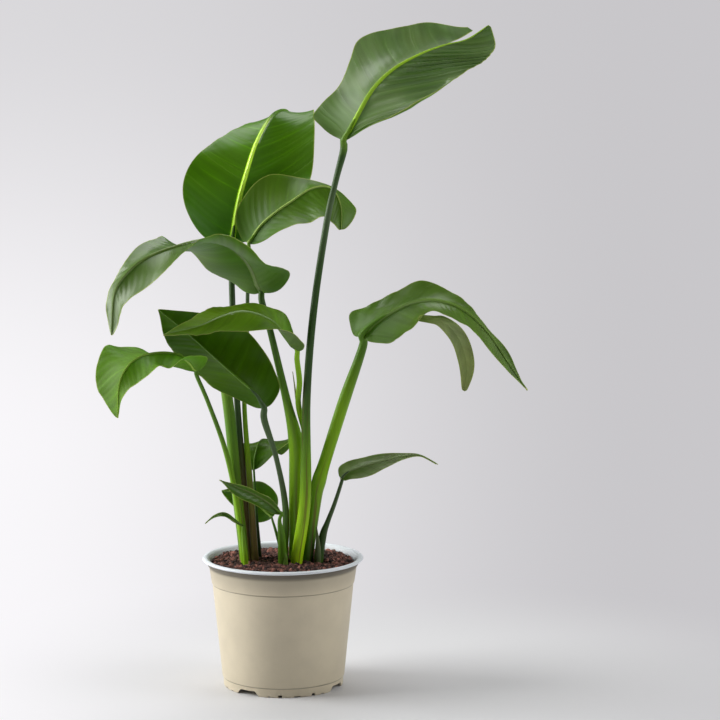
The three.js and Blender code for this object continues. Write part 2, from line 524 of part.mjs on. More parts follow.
const sockets = [];
const stemSides = (stations) => (stations[1][3] > 4 ? 8 : 7);
add('pot', potSolid(), POT);
for (const [name, leaf] of Object.entries(LEAVES)) {
  const small = leaf.rows < 14;
  const stalk = stalkStations(leaf);
  let whole = stalkMesh(stalk, stemSides(stalk), small ? 7 : 11);
  whole = whole.add(bladeMesh(leaf, small ? 3 : 4));
  if (leaf.strip) whole = whole.add(bladeMesh(leaf.strip, 2));
  sockets.push(stalkMesh(stalk, stemSides(stalk), small ? 7 : 11, FIT));
  if (leaf.sheath) {
    whole = whole.add(stalkMesh(leaf.sheath, 6, 5));
    sockets.push(stalkMesh(leaf.sheath, 6, 5, FIT));
  }
  add(name, whole, name === 'leaf_middle_dark' ? DEEP : name.includes('small') ? YOUNG : GREEN);
}
add('leaf_young_rolled', stalkMesh(YOUNG_LEAF, 9, 10), YOUNG);
sockets.push(stalkMesh(YOUNG_LEAF, 9, 10, FIT));
add('soil', soilSolid(sockets), SOIL);

export default plant;
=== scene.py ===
"""The looks of a potted bird of paradise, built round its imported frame.

Shapes are worked out in millimetres, +Z up, with the origin in the middle of the pot's base and
the viewer at -Y, and Sculpt.piece puts them in metres.
"""

import math

import bpy
import numpy as np
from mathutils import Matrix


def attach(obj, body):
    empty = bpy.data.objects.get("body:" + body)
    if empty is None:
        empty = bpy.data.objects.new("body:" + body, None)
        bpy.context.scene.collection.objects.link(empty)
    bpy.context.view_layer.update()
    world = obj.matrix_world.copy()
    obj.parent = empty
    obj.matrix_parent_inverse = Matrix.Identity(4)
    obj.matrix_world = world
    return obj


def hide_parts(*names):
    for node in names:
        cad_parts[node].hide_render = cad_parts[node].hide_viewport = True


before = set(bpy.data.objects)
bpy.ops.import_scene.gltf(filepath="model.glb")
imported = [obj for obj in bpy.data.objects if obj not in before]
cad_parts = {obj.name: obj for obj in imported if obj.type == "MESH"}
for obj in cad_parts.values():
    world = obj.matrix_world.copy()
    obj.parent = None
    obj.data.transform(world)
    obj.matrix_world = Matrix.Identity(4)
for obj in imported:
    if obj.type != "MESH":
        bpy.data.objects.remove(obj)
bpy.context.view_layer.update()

bl_info = {
    "name": "Potted bird of paradise",
    "version": (1, 0, 0),
    "blender": (4, 5, 0),
    "location": "3D View > Sidebar > Plant",
    "description": "Builds a bird of paradise in its nursery pot, leaf by leaf",
    "category": "Object",
}

MM = 0.001

# The pot, the same sizes as its solid.
RIM_R = 95.0
POT_H = 153.4
WALL = 1.7
NECK_R = 87.2
UPPER_GROOVE = (84.0, 123.0)
LOWER_GROOVE = (71.4, 11.0)
FOOT_R = 70.6
FLOOR_Z = 6.6
BOSS_R = 24.0
DRAIN_R = 4.0
DRAIN_RING = 46.0
SOIL_Z = 147.2
CLEAR = 0.35          # between the soil and the pot
LIP_Z = 149.2         # above this the pot has its pale finish, and all the way down inside

# Gaps in the foot's skirt: angle from the viewer towards +X, width at the floor, width at the
# top, height.  Each is there again half a turn on.
FOOT_GAPS = [
    (-35, 32, 21, 5.9), (65, 32, 21, 5.9), (15, 8, 7.6, 1.5), (-1.5, 4.7, 4.3, 3.0), (31.5, 4.7, 4.3, 3.0),
    (-12, 3, 2.7, 1.5), (42, 3, 2.7, 1.5), (98, 4, 3.6, 2.0), (112, 4, 3.6, 2.0), (86, 3, 2.7, 1.5),
    (124, 3, 2.7, 1.5),
]

# The leaves.
SLIT_SHORT = 16.0     # how much sooner the left half of the split tip ends

# Each leaf: stalk stations x, y, z, radius; midrib stations of the blade from base to tip; left
# and right are the vectors from the midrib to the blade's edge at full width; outline is the pair
# of powers of the half-width along the blade; belly bows each half; wave is the height, number
# and phase of the ripple of each edge, left then right; rib is the half-width of the midrib at
# the base; slit is where it starts, how far it opens, where its left half ends and how much
# wider it spreads; a small leaf takes fewer faces.
LEAVES = {
  "leaf_top": {
    "stalk": [[15.5, -15, 106, 7.1], [16, -15, 148, 7.1], [26.5, -17, 224, 7.0], [28.6, -20.5, 342, 4.9],
      [37, -24, 447, 4.5], [52.5, -27, 550, 4.1], [63, -26, 598, 3.7], [72, -24, 633, 4.6]],
    "mid": [[74, -24, 643], [89, -34, 674], [107, -42, 704], [130, -50, 726], [159, -58, 742],
      [186, -66, 752], [211, -72, 758.5], [235, -76, 774]],
    "left": [[-56, 24, 21], [-61, 40, -2], [-45, 41, -2], [-50, 42, 10], [-68, 39, 21], [-56, 33, 25.5],
      [-38, 29, 30], [-22, 12, 15]],
    "right": [[22, -20, 10], [35, -28, -8], [42, -31, -24], [50, -27, -25], [56, -26, -21], [58, -22, -19],
      [52, -16, -10.5], [24, -8, -7]],
    "outline": [0.36, 0.5], "belly": [0.07, 0.06], "wave": [[1.6, 3, 0.1], [1.8, 4, 0.3]], "rib": 2.6,
    "slit": [0.76, 0.42, 1.04, 3],
  },
  "leaf_rear_broad": {
    "stalk": [[-35, 9, 106, 5.0], [-38, 9, 146, 5.0], [-47, 10, 243, 4.4], [-54, 13, 338, 3.8],
      [-58, 17, 420, 3.8], [-60, 24, 474, 3.8], [-61, 33, 518, 3.4]],
    "mid": [[-60, 34, 521], [-53, 42, 566], [-43, 50, 604], [-31, 60, 640], [-14, 82, 669], [4, 114, 674],
      [9, 140, 653], [10, 157, 619]],
    "left": [[-58, -16, -4], [-69, -15, 0], [-73, -2, -4], [-65, 6, -11], [-48, 7, -16], [-36, 3, -19],
      [-34, -6, -18], [-24, -4, -14]],
    "right": [[60, -18, 3], [77, -14, 0], [77, 0, -5], [69, 4, 2], [56, 1, 1], [40, 2, 2], [28, -8, -10],
      [20, -8, -10]],
    "outline": [0.36, 0.6], "belly": [0.05, 0.1], "wave": [[1.5, 3, 0.6], [1.5, 3, 0.1]], "rib": 2.6,
  },
  "leaf_rear_small": {
    "stalk": [[-33, -3, 106, 4.5], [-33, -3, 146, 4.5], [-39, 5, 241, 3.6], [-45.5, 14, 336, 2.8],
      [-42, 19, 419, 2.5], [-41, 19, 467, 2.4], [-39, 16, 512, 2.4]],
    "mid": [[-38, 15, 522], [-26, 14, 541], [-9, 12, 557], [12, 10, 572], [36, 8, 587], [57, 6, 587],
      [68, 2, 568], [69, -6, 540]],
    "left": [[-32, 18, 10], [-37, 22, 20], [-34, 24, 28], [-25, 25, 30], [-12, 28, 10], [7, 31, -2],
      [24, 31, -8], [26, 16, -4]],
    "right": [[16, -18, -6], [19, -25, -12], [18, -25, -14], [17, -24, -24], [12, -24, -33], [0, -25, -34],
      [-16, -20, -22], [-12, -8, -8]],
    "outline": [0.4, 0.48], "belly": [0.08, 0.08], "wave": [[1.4, 4, 0.3], [1.6, 5, 0.0]], "rib": 1.9,
  },
  "leaf_left_high": {
    "stalk": [[15, 4, 106, 8.2], [15, 4, 146, 8.4], [15.8, 1, 245, 8.6], [15, -5, 292, 8.6],
      [5, -11, 341, 5.2], [-14, -17, 425, 4.0], [-23, -21, 458, 4.0]],
    "mid": [[-25, -22, 467], [-35, -42, 499], [-50, -62, 520], [-68, -82, 531], [-90, -102, 533],
      [-114, -118, 528], [-141, -132, 519], [-162, -142, 505], [-179, -148, 480], [-184, -150, 433]],
    "left": [[52, -22, -3], [57, -33, -3], [36, -41, -11], [33, -43, -2], [33, -44, 13], [31, -40, 10],
      [23, -35, -11], [18, -28, -25], [15, -22, -23], [14, -12, -8]],
    "right": [[-26, 30, -12], [-36, 46, -23], [-39, 42, -24], [-37, 40, -15], [-29, 41, -9], [-21, 41, 8],
      [-14, 37, 14], [-11, 28, 7], [-16, 25, 0], [-16, 16, 2]],
    "outline": [0.38, 0.55], "belly": [0.08, 0.08], "wave": [[2.0, 4, 0.5], [2.2, 5, 0.2]], "rib": 2.6,
  },
  "leaf_left_low": {
    "stalk": [[-44.5, -14, 106, 4.4], [-44.5, -14, 146, 4.4], [-54, -12, 222, 3.5], [-66.5, -15, 282, 3.1],
      [-85, -30, 340, 2.6], [-97.5, -43, 374, 2.5]],
    "mid": [[-98.5, -45, 378], [-104, -58, 390], [-115, -72, 400], [-133, -94, 406], [-153, -114, 405],
      [-168, -128, 396], [-177, -138, 376], [-179, -142, 339]],
    "left": [[22, -18, 8], [29, -28, 13], [13, -36, 3], [12, -31, -12], [21, -25, -9], [21, -17, -13],
      [11, -12, -9], [2, -6, 2]],
    "right": [[-20, 24, -4], [-29, 31, -10], [-27, 30, -9], [-25, 32, -1], [-30, 36, 8], [-34, 34, 17],
      [-37, 32, -7], [-24, 18, 3]],
    "outline": [0.38, 0.5], "belly": [0.1, 0.08], "wave": [[1.2, 3, 0.1], [2.2, 3, 0.6]], "rib": 1.8,
  },
  "leaf_middle_dark": {
    "stalk": [[1, -4, 106, 4.4], [1, -4, 146, 4.4], [3.5, -8, 210, 3.9], [-6.5, -20, 272, 3.2],
      [-20, -34, 320, 4.2]],
    "mid": [[-20, -38, 336], [-29, -41, 352], [-44, -43, 366], [-69, -45, 389], [-99, -49, 417],
      [-122, -53, 437], [-140, -56, 452]],
    "left": [[-22, 12, -6], [-29, 18, -9], [-35, 24, -11], [-31, 28, -16], [-33, 30, -22], [-27, 22, -20],
      [-10, 8, -10]],
    "right": [[22, 10, 4], [33, 17, 7], [37, 16, 15], [46, 18, 16], [61, 20, 17], [58, 16, 18], [32, 8, 9]],
    "outline": [0.36, 0.62], "belly": [0.05, 0.07], "wave": [[1.0, 3, 0.2], [1.4, 3, 0.5]], "rib": 2.0,
  },
  "leaf_front_long": {
    "stalk": [[29, 14, 106, 4.8], [29, 14, 146, 4.8], [29, 13, 223, 4.2], [28, 7, 288, 3.9],
      [19, -14.5, 335, 3.5], [20.5, -27, 365, 3.5], [18, -37, 392, 3.3]],
    "mid": [[16, -40, 401], [5, -50, 418], [-9, -66, 438], [-30, -84, 450], [-47, -100, 453],
      [-66, -118, 449], [-89, -138, 441], [-126, -160, 434]],
    "left": [[25, -18, 3], [27, -24, -5], [23, -35, -7], [14, -41, -14], [4, -43, -17], [-3, -42, -14],
      [-8, -34, -10], [-4, -12, -3]],
    "right": [[4, 26, 14], [9, 37, 10], [8, 39, 11], [3, 41, 6], [-4, 43, 5], [-12, 46, 7], [-18, 41, 8],
      [-8, 14, 4]],
    "outline": [0.38, 0.62], "belly": [0.08, 0.08], "wave": [[1.2, 4, 0.4], [1.4, 4, 0.1]], "rib": 2.0,
    "sheath": [[25.5, 0, 306, 1.8], [21, -7, 322, 1.9], [17, -11, 340, 1.4], [14.5, -13, 360, 0.8],
      [12.5, -14, 375, 0.4]],
  },
  "leaf_right": {
    "stalk": [[29, -6, 106, 6.2], [29, -6, 146, 6.2], [38.2, -1, 221, 7.4], [42.4, 1, 243, 8.6],
      [50, 3, 268, 7.3], [72, 8, 338, 7.4], [89, 10, 386, 5.9], [95, 10, 407, 5.2]],
    "mid": [[96, 10, 413], [107, 6, 427], [126, 0, 441], [152, -8, 454], [177, -18, 458], [200, -28, 453],
      [221, -36, 440], [241, -46, 419], [260.5, -54, 390.5], [283, -60, 359]],
    "left": [[-32, 28, -8], [-38, 38, -4], [-49, 39, -3], [-52, 38, -5], [-45, 40, 5], [-37, 42, 29],
      [-18, 34, 26], [-6, 24, 16], [4, 18, 23], [-2, 8, 6]],
    "right": [[9, -24, -16], [10, -34, -25], [4, -35, -31], [-5, -33, -28], [-11, -32, -12], [-15, -30, -6],
      [-13, -29, -6], [-13, -26, -5], [-15, -20, -6], [-8, -8, -3]],
    "outline": [0.38, 0.8], "belly": [0.08, 0.08], "wave": [[1.8, 4, 0.2], [1.4, 5, 0.6]], "rib": 2.6,
    # the strip torn from the near half, which hangs down from its root in the blade
    "strip": {
      "mid": [[158, -40, 441], [173, -46, 440], [184, -48, 438], [197, -52, 428], [206, -55, 415],
        [212, -58, 396], [214, -60, 379], [211, -60, 358]],
      "left": [[-2, 0, -5], [-3, 1, -5], [-4, 2, -6], [-6, 2, -7], [-8, 2, -6], [-10, 2, -2], [-10, 3, 0],
        [-7, 1, 1]],
      "right": [[2, 0, 4], [3, -1, 4], [4, -1, 5], [7, -2, 6], [9, -2, 5], [10, -2, 3], [9, -3, 1],
        [6, -1, 0]],
      "outline": [0.12, 0.25], "belly": [0.05, 0.05], "wave": [[0.5, 2, 0], [1.0, 2, 0.3]], "rib": 0,
    },
  },
  "leaf_small_right": {
    "stalk": [[41, -6, 106, 5.4], [42, -6, 146, 5.4], [47, -2, 178, 4.6], [52.5, 1, 194, 3.2],
      [61, 4, 216, 2.6], [69.5, 8, 242, 2.2]],
    "mid": [[70.5, 8, 244], [77, 4, 253], [95, 0, 261], [117, -6, 268], [140, -14, 275], [161, -20, 277],
      [182, -24, 267]],
    "left": [[-9, 9, 3], [-12, 12, 5], [-13, 13, 5], [-10, 13, 7], [-6, 9, 6], [-3, 6, 4], [-1, 2, 2]],
    "right": [[5, -9, -4], [5, -12, -7], [6, -12, -10], [3, -12, -9], [1, -8, -7], [0, -6, -5],
      [0, -2, -2]],
    "outline": [0.36, 1.3], "belly": [0.1, 0.1], "wave": [[0.6, 3, 0.2], [0.6, 3, 0.6]], "rib": 1.3,
    "small": True,
    "sheath": [[41, -10, 106, 4.2], [41, -10.5, 150, 4.2], [41.5, -11.5, 170, 2.8], [40.5, -12, 184, 1.2],
      [40, -12, 191, 0.5]],
  },
  "leaf_small_rear": {
    "stalk": [[-28, 15, 106, 2.6], [-28, 15, 146, 2.6], [-32, 18, 202, 1.7], [-35, 25, 250, 1.4]],
    "mid": [[-35, 25, 252], [-34, 29, 267], [-30, 40, 281], [-24, 60, 283], [-12, 84, 275], [-5, 102, 258]],
    "left": [[-22, -6, 2], [-30, -5, 2], [-36, -2, -1], [-34, 4, -4], [-26, 3, -5], [-14, 0, -4]],
    "right": [[22, -6, 8], [29, -6, 6], [37, -1, 3], [36, 4, 3], [32, 3, 1], [24, 0, -2]],
    "outline": [0.42, 0.7], "belly": [0.1, 0.1], "wave": [[0.7, 2, 0.2], [0.7, 2, 0.5]], "rib": 1.2,
    "small": True,
  },
  "leaf_small_left": {
    "stalk": [[0, -18, 106, 5.6], [0, -18, 148, 5.6], [-1, -26, 180, 4.6], [-3, -33, 202, 2.4]],
    "mid": [[-2, -36, 210], [-16, -45, 225], [-34, -56, 238], [-52, -67, 248], [-70, -78, 258]],
    "left": [[-8, -11, -1], [-12, -15, -1], [-14, -17, -2], [-12, -15, -3], [-4, -6, -1]],
    "right": [[3, 11, 3], [4, 15, 2], [3, 15, 2], [0, 12, 3], [0, 6, 2]],
    "outline": [0.42, 0.8], "belly": [0.1, 0.1], "wave": [[0.5, 2, 0.2], [0.5, 2, 0.5]], "rib": 1.3,
    "small": True,
    "sheath": [[3.5, -22, 106, 3.0], [3.5, -22, 150, 3.0], [3, -23, 161, 1.7], [1.5, -23.5, 170, 0.5]],
  },
  "leaf_small_low": {
    "stalk": [[-1, 10, 106, 3.0], [-1, 10, 150, 3.0], [-8, 20, 175, 2.0], [-14, 28, 193, 1.4]],
    "mid": [[-14, 28, 194], [-23, 32, 201], [-35, 34, 212], [-52, 34, 222], [-74, 34, 226]],
    "left": [[-10, -4, -9], [-11, -8, -13], [-13, -6, -10], [-12, -5, -16], [-7, -2, -14]],
    "right": [[12, 7, 9], [18, 9, 15], [18, 8, 18], [18, 9, 17], [8, 4, 6]],
    "outline": [0.4, 0.7], "belly": [0.08, 0.08], "wave": [[0.6, 2, 0.2], [0.6, 2, 0.5]], "rib": 1.2,
    "small": True,
  },
  "leaf_tiny_curled": {
    "stalk": [[-43, -26, 106, 3.2], [-43, -26, 150, 3.2], [-45, -28, 176, 2.6], [-46, -29, 192, 1.6]],
    "mid": [[-46, -29, 194], [-56, -38, 203], [-67, -47, 213], [-78, -54, 211], [-88, -61, 204]],
    "left": [[3, -6, 2], [2, -7, -1], [2, -7, -2], [2, -6, -1], [1, -3, -1]],
    "right": [[-2, 6, 4], [-1, 7, 3], [0, 6, 1], [-1, 6, 1], [0, 3, 1]],
    "outline": [0.5, 0.8], "belly": [0.15, 0.15], "wave": [[0.3, 2, 0.2], [0.3, 2, 0.5]], "rib": 0.9,
    "small": True,
  },
}

# The young leaf of the left clump, still rolled.
YOUNG_LEAF = [[-44.5, -3, 106, 5.6], [-45, -3, 146, 5.6], [-55, 0, 243, 6.3], [-61.5, 2, 316, 6.6],
  [-69, 4, 374, 6.2], [-74, 6, 412, 3.8], [-78, 7, 436, 0.9]]

# Linear colours that the leaves share.
LIME = (0.42, 0.72, 0.006)
BRIGHT = (0.20, 0.40, 0.006)
MID = (0.085, 0.20, 0.010)
GREY = (0.070, 0.115, 0.045)
DARK = (0.026, 0.068, 0.010)
BROWN = (0.17, 0.12, 0.030)
STRAW = (0.50, 0.46, 0.20)
STRIP = (0.30, 0.36, 0.13)

# How a leaf looks unless its own line says otherwise.  upper and under are the faces, glow is the
# light that comes through, rib the midrib, wide its reach over the blade and rib_end where it
# loses its colour, edge the margin.  gloss is the roughness of the upper face, shine the strength
# of the reflections and matt how much rougher the tip is.  pleat is the height of the pleats of
# each half, gap their distance and lean how far the side veins run towards the tip; crease is the
# distance between pale creases and faint how pale they are.  stalk holds the colours of the
# petiole from the soil up; curl rolls an edge over: half, from, to, angle, side.
USUAL_LOOK = {
    "upper": (0.080, 0.190, 0.003), "under": (0.13, 0.18, 0.070), "glow": (0.22, 0.52, 0.001),
    "rib": (0.22, 0.38, 0.045), "wide": 1.15, "rib_end": 0.95, "edge": (0.50, 0.56, 0.12),
    "gloss": 0.27, "shine": 0.5, "matt": 0.12,
    "pleat": (0.35, 0.35), "gap": (9.0, 9.0), "lean": (0.55, 0.55), "crease": 26.0, "faint": 0.22,
    "stalk": [BRIGHT, MID, MID, MID], "curl": None,
}
LOOKS = {
    "leaf_top": {
        "upper": (0.115, 0.180, 0.055), "under": (0.16, 0.28, 0.030), "rib": (0.42, 0.72, 0.03),
        "wide": 1.5, "pleat": (0.2, 2.4), "gap": (9.0, 15.0), "lean": (0.5, 0.9),
        "stalk": [LIME, LIME, BRIGHT, MID, DARK, DARK, DARK, GREY, DARK, BRIGHT],
        "curl": (1, 0.02, 0.56, 2.5, -1),
    },
    "leaf_rear_broad": {
        "upper": (0.078, 0.205, 0.001), "rib": (0.62, 0.98, 0.05), "wide": 1.7, "rib_end": 0.5,
        "shine": 0.7, "pleat": (0.35, 0.3), "faint": 0.45,
        "stalk": [BROWN, BROWN, DARK, GREY, DARK, MID],
    },
    "leaf_rear_small": {
        "upper": (0.082, 0.172, 0.010), "rib": (0.36, 0.52, 0.10), "shine": 0.4, "pleat": (0.2, 0.5),
        "stalk": [BROWN, BROWN, BRIGHT, MID, GREY, BRIGHT],
    },
    "leaf_left_high": {
        "upper": (0.088, 0.165, 0.020), "under": (0.085, 0.150, 0.003), "rib": (0.17, 0.27, 0.05),
        "gloss": 0.20, "shine": 0.8, "pleat": (0.4, 0.4),
        "stalk": [BRIGHT, BRIGHT, BRIGHT, MID, DARK, MID],
    },
    "leaf_left_low": {
        "upper": (0.105, 0.215, 0.004), "under": (0.11, 0.21, 0.012), "glow": (0.34, 0.74, 0.002),
        "rib": (0.30, 0.50, 0.05), "gloss": 0.42, "shine": 0.3, "stalk": [BRIGHT, BRIGHT, MID, MID],
    },
    "leaf_middle_dark": {
        "upper": (0.058, 0.130, 0.001), "glow": (0.14, 0.36, 0.001), "rib": (0.12, 0.25, 0.02),
        "gloss": 0.25, "shine": 0.2, "stalk": [BRIGHT, MID, GREY, GREY, DARK],
    },
    "leaf_front_long": {
        "upper": (0.160, 0.290, 0.015), "rib": (0.14, 0.28, 0.03), "edge": (0.60, 0.60, 0.17),
        "pleat": (0.25, 0.5), "stalk": [BRIGHT, MID, BRIGHT, BRIGHT, BRIGHT],
    },
    "leaf_right": {
        "upper": (0.105, 0.190, 0.020), "under": (0.10, 0.21, 0.006), "rib": (0.17, 0.30, 0.045),
        "matt": 0.28, "pleat": (0.25, 0.3), "lean": (1.0, 0.9),
        "stalk": [DARK, MID, BRIGHT, BRIGHT, MID, MID],
    },
    "leaf_small_right": {
        "upper": (0.21, 0.26, 0.11), "rib": (0.22, 0.32, 0.10), "stalk": [MID, DARK, GREY, GREY],
    },
    "leaf_small_rear": {
        "upper": (0.050, 0.098, 0.002), "under": (0.07, 0.115, 0.004), "rib": (0.07, 0.15, 0.01),
        "shine": 0.2, "stalk": [DARK, DARK, MID],
    },
    "leaf_small_left": {
        "upper": (0.060, 0.100, 0.010), "rib": (0.12, 0.19, 0.03), "shine": 0.35,
        "stalk": [MID, MID, MID],
    },
    "leaf_small_low": {"upper": (0.065, 0.145, 0.004), "stalk": [BRIGHT, MID, MID]},
    "leaf_tiny_curled": {"upper": (0.080, 0.160, 0.010), "stalk": [BRIGHT, BRIGHT, MID]},
}
# How dry the sheath tip beside a stalk is.
DRY_TIPS = {"leaf_front_long": 0.7, "leaf_small_left": 0.08, "leaf_small_right": 0.08}


# Curves, as whole arrays.
def unit(v):
    """Rows of v at length one."""
    return v / np.maximum(np.linalg.norm(v, axis=-1, keepdims=True), 1e-9)


def smooth(low, high, x):
    """Nought up to low, one from high, and an S between."""
    f = np.clip((x - low) / (high - low), 0, 1)
    return f * f * (3 - 2 * f)


def along(stations, t):
    """A cubic through the given stations, t from 0 to their count less one: at each station its
    slope is half the step between its neighbours, and the ends carry on straight."""
    s = np.asarray(stations, float)
    s = np.vstack([2 * s[0] - s[1], s, 2 * s[-1] - s[-2]])
    u = np.clip(t, 0, len(s) - 3)
    i = np.minimum(u.astype(int), len(s) - 4)
    f = (u - i)[..., None]
    before, a, b, after = s[i], s[i + 1], s[i + 2], s[i + 3]
    m, n = (b - before) / 2, (after - a) / 2
    return ((2 * f**3 - 3 * f**2 + 1) * a + (f**3 - 2 * f**2 + f) * m
            + (3 * f**2 - 2 * f**3) * b + (f**3 - f**2) * n)


def by_length(stations, share):
    """The station values at shares of the curve's length, and that length."""
    t = np.linspace(0, len(stations) - 1, 401)
    steps = np.linalg.norm(np.diff(along(stations, t)[:, :3], axis=0), axis=1)
    s = np.concatenate([[0], np.cumsum(steps)])
    return np.interp(share * s[-1], s, t), s[-1]


def heading(stations, t):
    """The unit direction of the curve at t."""
    last = len(stations) - 1
    ahead, behind = along(stations, np.minimum(t + 0.05, last)), along(stations, np.maximum(t - 0.05, 0))
    return unit(ahead[:, :3] - behind[:, :3])


def lattice(index, closed=False):
    """Four-sided faces between neighbouring entries of a table of point numbers; closed joins
    the last column to the first."""
    if closed:
        index = np.column_stack([index, index[:, 0]])
    return np.stack([index[:-1, :-1], index[:-1, 1:], index[1:, 1:], index[1:, :-1]], -1).reshape(-1, 4)


def closed_body(rings, sides):
    """Faces of a body whose points come ring by ring and then as its two end points: four-sided
    ones between the rings, and three-sided ones that close both ends."""
    index = np.arange(rings * sides).reshape(rings, sides)
    turn = np.roll(index, -1, axis=1)
    first = np.column_stack([np.full(sides, index.size), turn[0], index[0]])
    last = np.column_stack([np.full(sides, index.size + 1), index[-1], turn[-1]])
    return lattice(index, True), np.concatenate([first, last])


# One piece from several surfaces.
class Sculpt:
    """Collects the surfaces of one piece: points, faces, a finish number for each face and the
    values that the finishes read at each point."""

    VALUES = {"along": 1, "edge": 1, "rib": 1, "tone": 1, "grain": 3}

    def __init__(self):
        self.points, self.fours, self.threes, self.four_finish, self.three_finish = [], [], [], [], []
        self.values = {name: [] for name in self.VALUES}
        self.count = 0

    def add(self, points, fours=None, threes=None, finish=0, **values):
        """Adds one surface; finish is a number, or one number for each four-sided face."""
        fours = np.zeros((0, 4), int) if fours is None else fours
        threes = np.zeros((0, 3), int) if threes is None else threes
        self.points.append(points)
        self.fours.append(fours + self.count)
        self.threes.append(threes + self.count)
        self.four_finish.append(np.broadcast_to(finish, len(fours)))
        self.three_finish.append(np.full(len(threes), np.max(finish)))
        for name, width in self.VALUES.items():
            shape = (len(points), width) if width > 1 else (len(points),)
            self.values[name].append(np.broadcast_to(values.get(name, 0.0), shape))
        self.count += len(points)

    def piece(self, name, finishes, slot, stands_for, sharp=None):
        """The mesh object, in metres, riding on the plant and standing for its solid."""
        mesh = bpy.data.meshes.new(name)
        fours, threes = np.concatenate(self.fours), np.concatenate(self.threes)
        corners = np.concatenate([fours.ravel(), threes.ravel()])
        sizes = np.concatenate([np.full(len(fours), 4), np.full(len(threes), 3)])
        mesh.vertices.add(self.count)
        mesh.vertices.foreach_set("co", (np.concatenate(self.points) * MM).ravel())
        mesh.loops.add(len(corners))
        mesh.loops.foreach_set("vertex_index", corners)
        mesh.polygons.add(len(sizes))
        mesh.polygons.foreach_set("loop_start", np.concatenate([[0], np.cumsum(sizes)[:-1]]))
        mesh.polygons.foreach_set("material_index", np.concatenate(self.four_finish + self.three_finish))
        mesh.polygons.foreach_set("use_smooth", np.ones(len(sizes), bool))
        mesh.update(calc_edges=True)
        for value, width in self.VALUES.items():
            kind, key = ("FLOAT_VECTOR", "vector") if width > 1 else ("FLOAT", "value")
            layer = mesh.attributes.new(value, kind, "POINT")
            layer.data.foreach_set(key, np.concatenate(self.values[value]).astype(np.float32).ravel())
        for finish in finishes:
            mesh.materials.append(finish)
        if sharp:
            mesh.set_sharp_from_angle(angle=math.radians(sharp))
        piece = bpy.data.objects.new(name, mesh)
        bpy.context.scene.collection.objects.link(piece)
        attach(piece, "root")
        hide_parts(stands_for)
        return piece


def shell(points, fours, above, below, upright):
    """Both faces of an open sheet, `above` and `below` it along its normals, and a wall along
    every border edge; where upright has length, it turns the normals to itself.  Returns the
    points, the faces, 0, 1 or 2 for each face of the top, the bottom and the wall, and the
    sheet's point that each point comes from."""
    used, fours = np.unique(fours, return_inverse=True)
    fours, points, above, below = fours.reshape(-1, 4), points[used], above[used, None], below[used, None]
    corner = points[fours]
    facing = np.cross(corner[:, 2] - corner[:, 0], corner[:, 3] - corner[:, 1])
    normals = np.zeros_like(points)
    for k in range(4):
        np.add.at(normals, fours[:, k], facing)
    turned = np.linalg.norm(upright, axis=1, keepdims=True)[used]
    normals = unit(unit(normals) * (1 - turned) + upright[used])
    n = len(points)
    edges = np.concatenate([fours[:, [k, (k + 1) % 4]] for k in range(4)])
    low, high = edges.min(1), edges.max(1)
    _, first, times = np.unique(low * n + high, return_index=True, return_counts=True)
    a, b = edges[first[times == 1]].T
    walls = np.column_stack([b, a, a + n, b + n])
    faces = np.concatenate([fours, fours[:, ::-1] + n, walls])
    part = np.repeat([0, 1, 2], [len(fours), len(fours), len(walls)])
    return np.vstack([points + normals * above, points - normals * below]), faces, part, np.tile(used, 2)


NO_EDGE = 99.0        # a stalk has no margin: so far from one, in millimetres


def tube(sculpt, stations, rows, sides, finish, section=None, tone=0.0):
    """A stalk swept through stations x, y, z, radius, its ring turned as little as it can be from
    +X; section gives the ring's radius as a multiple, from the angle and the share of length."""
    share = np.linspace(0, 1, rows + 1)
    t, length = by_length(stations, share)
    here = along(stations, t)
    direction = heading(stations, t)
    x = unit([1.0, 0, 0] - direction * direction[:, :1])
    y = np.cross(direction, x)
    angle = np.linspace(0, 2 * np.pi, sides, endpoint=False)
    angles, shares = np.meshgrid(angle, share)
    radius = here[:, 3:4] * (1 if section is None else section(angles, shares))
    c, s = (radius * np.cos(angles))[..., None], (radius * np.sin(angles))[..., None]
    rings = here[:, None, :3] + x[:, None] * c + y[:, None] * s
    grain = np.stack([radius * np.cos(angles), radius * np.sin(angles), shares * length], -1)
    sculpt.add(
        np.vstack([rings.reshape(-1, 3), here[0, :3], here[-1, :3]]), *closed_body(rows + 1, sides), finish,
        along=np.concatenate([shares.ravel(), [0, 1]]), edge=NO_EDGE, tone=tone,
        grain=np.vstack([grain.reshape(-1, 3), [0, 0, 0], [0, 0, length]]),
    )


# Blades.
RIB_COLUMNS = np.array([0, 0.35, 0.7, 0.9, 1.0])     # shares of the midrib's half-width
RIBS_AWAY = 9.0                                      # the most half-widths that a finish can tell


def width_share(u, outline):
    """The half-width along a blade: u to the first power by 1 - u to the second, one at its most."""
    a, b = outline
    top = a / (a + b)
    return np.maximum(u, 0) ** a * np.maximum(1 - u, 0) ** b / (top**a * (1 - top) ** b)


def pleats(q, gap):
    """Parallel pleats across a distance q along the midrib: narrow rounded crests, gap
    millimetres apart, that swell and fade."""
    crest = 1 - 2 * np.sqrt(0.06 + np.sin(np.pi * (q / gap + 0.35 * np.sin(q / 23.0))) ** 2)
    swell = 0.65 + 0.35 * np.sin(q / 17.0 + 1.3 * np.sin(q / 41.0))
    return crest * swell + 0.7 * np.sin(q / 11.0 + 2 * np.sin(q / 37.0))


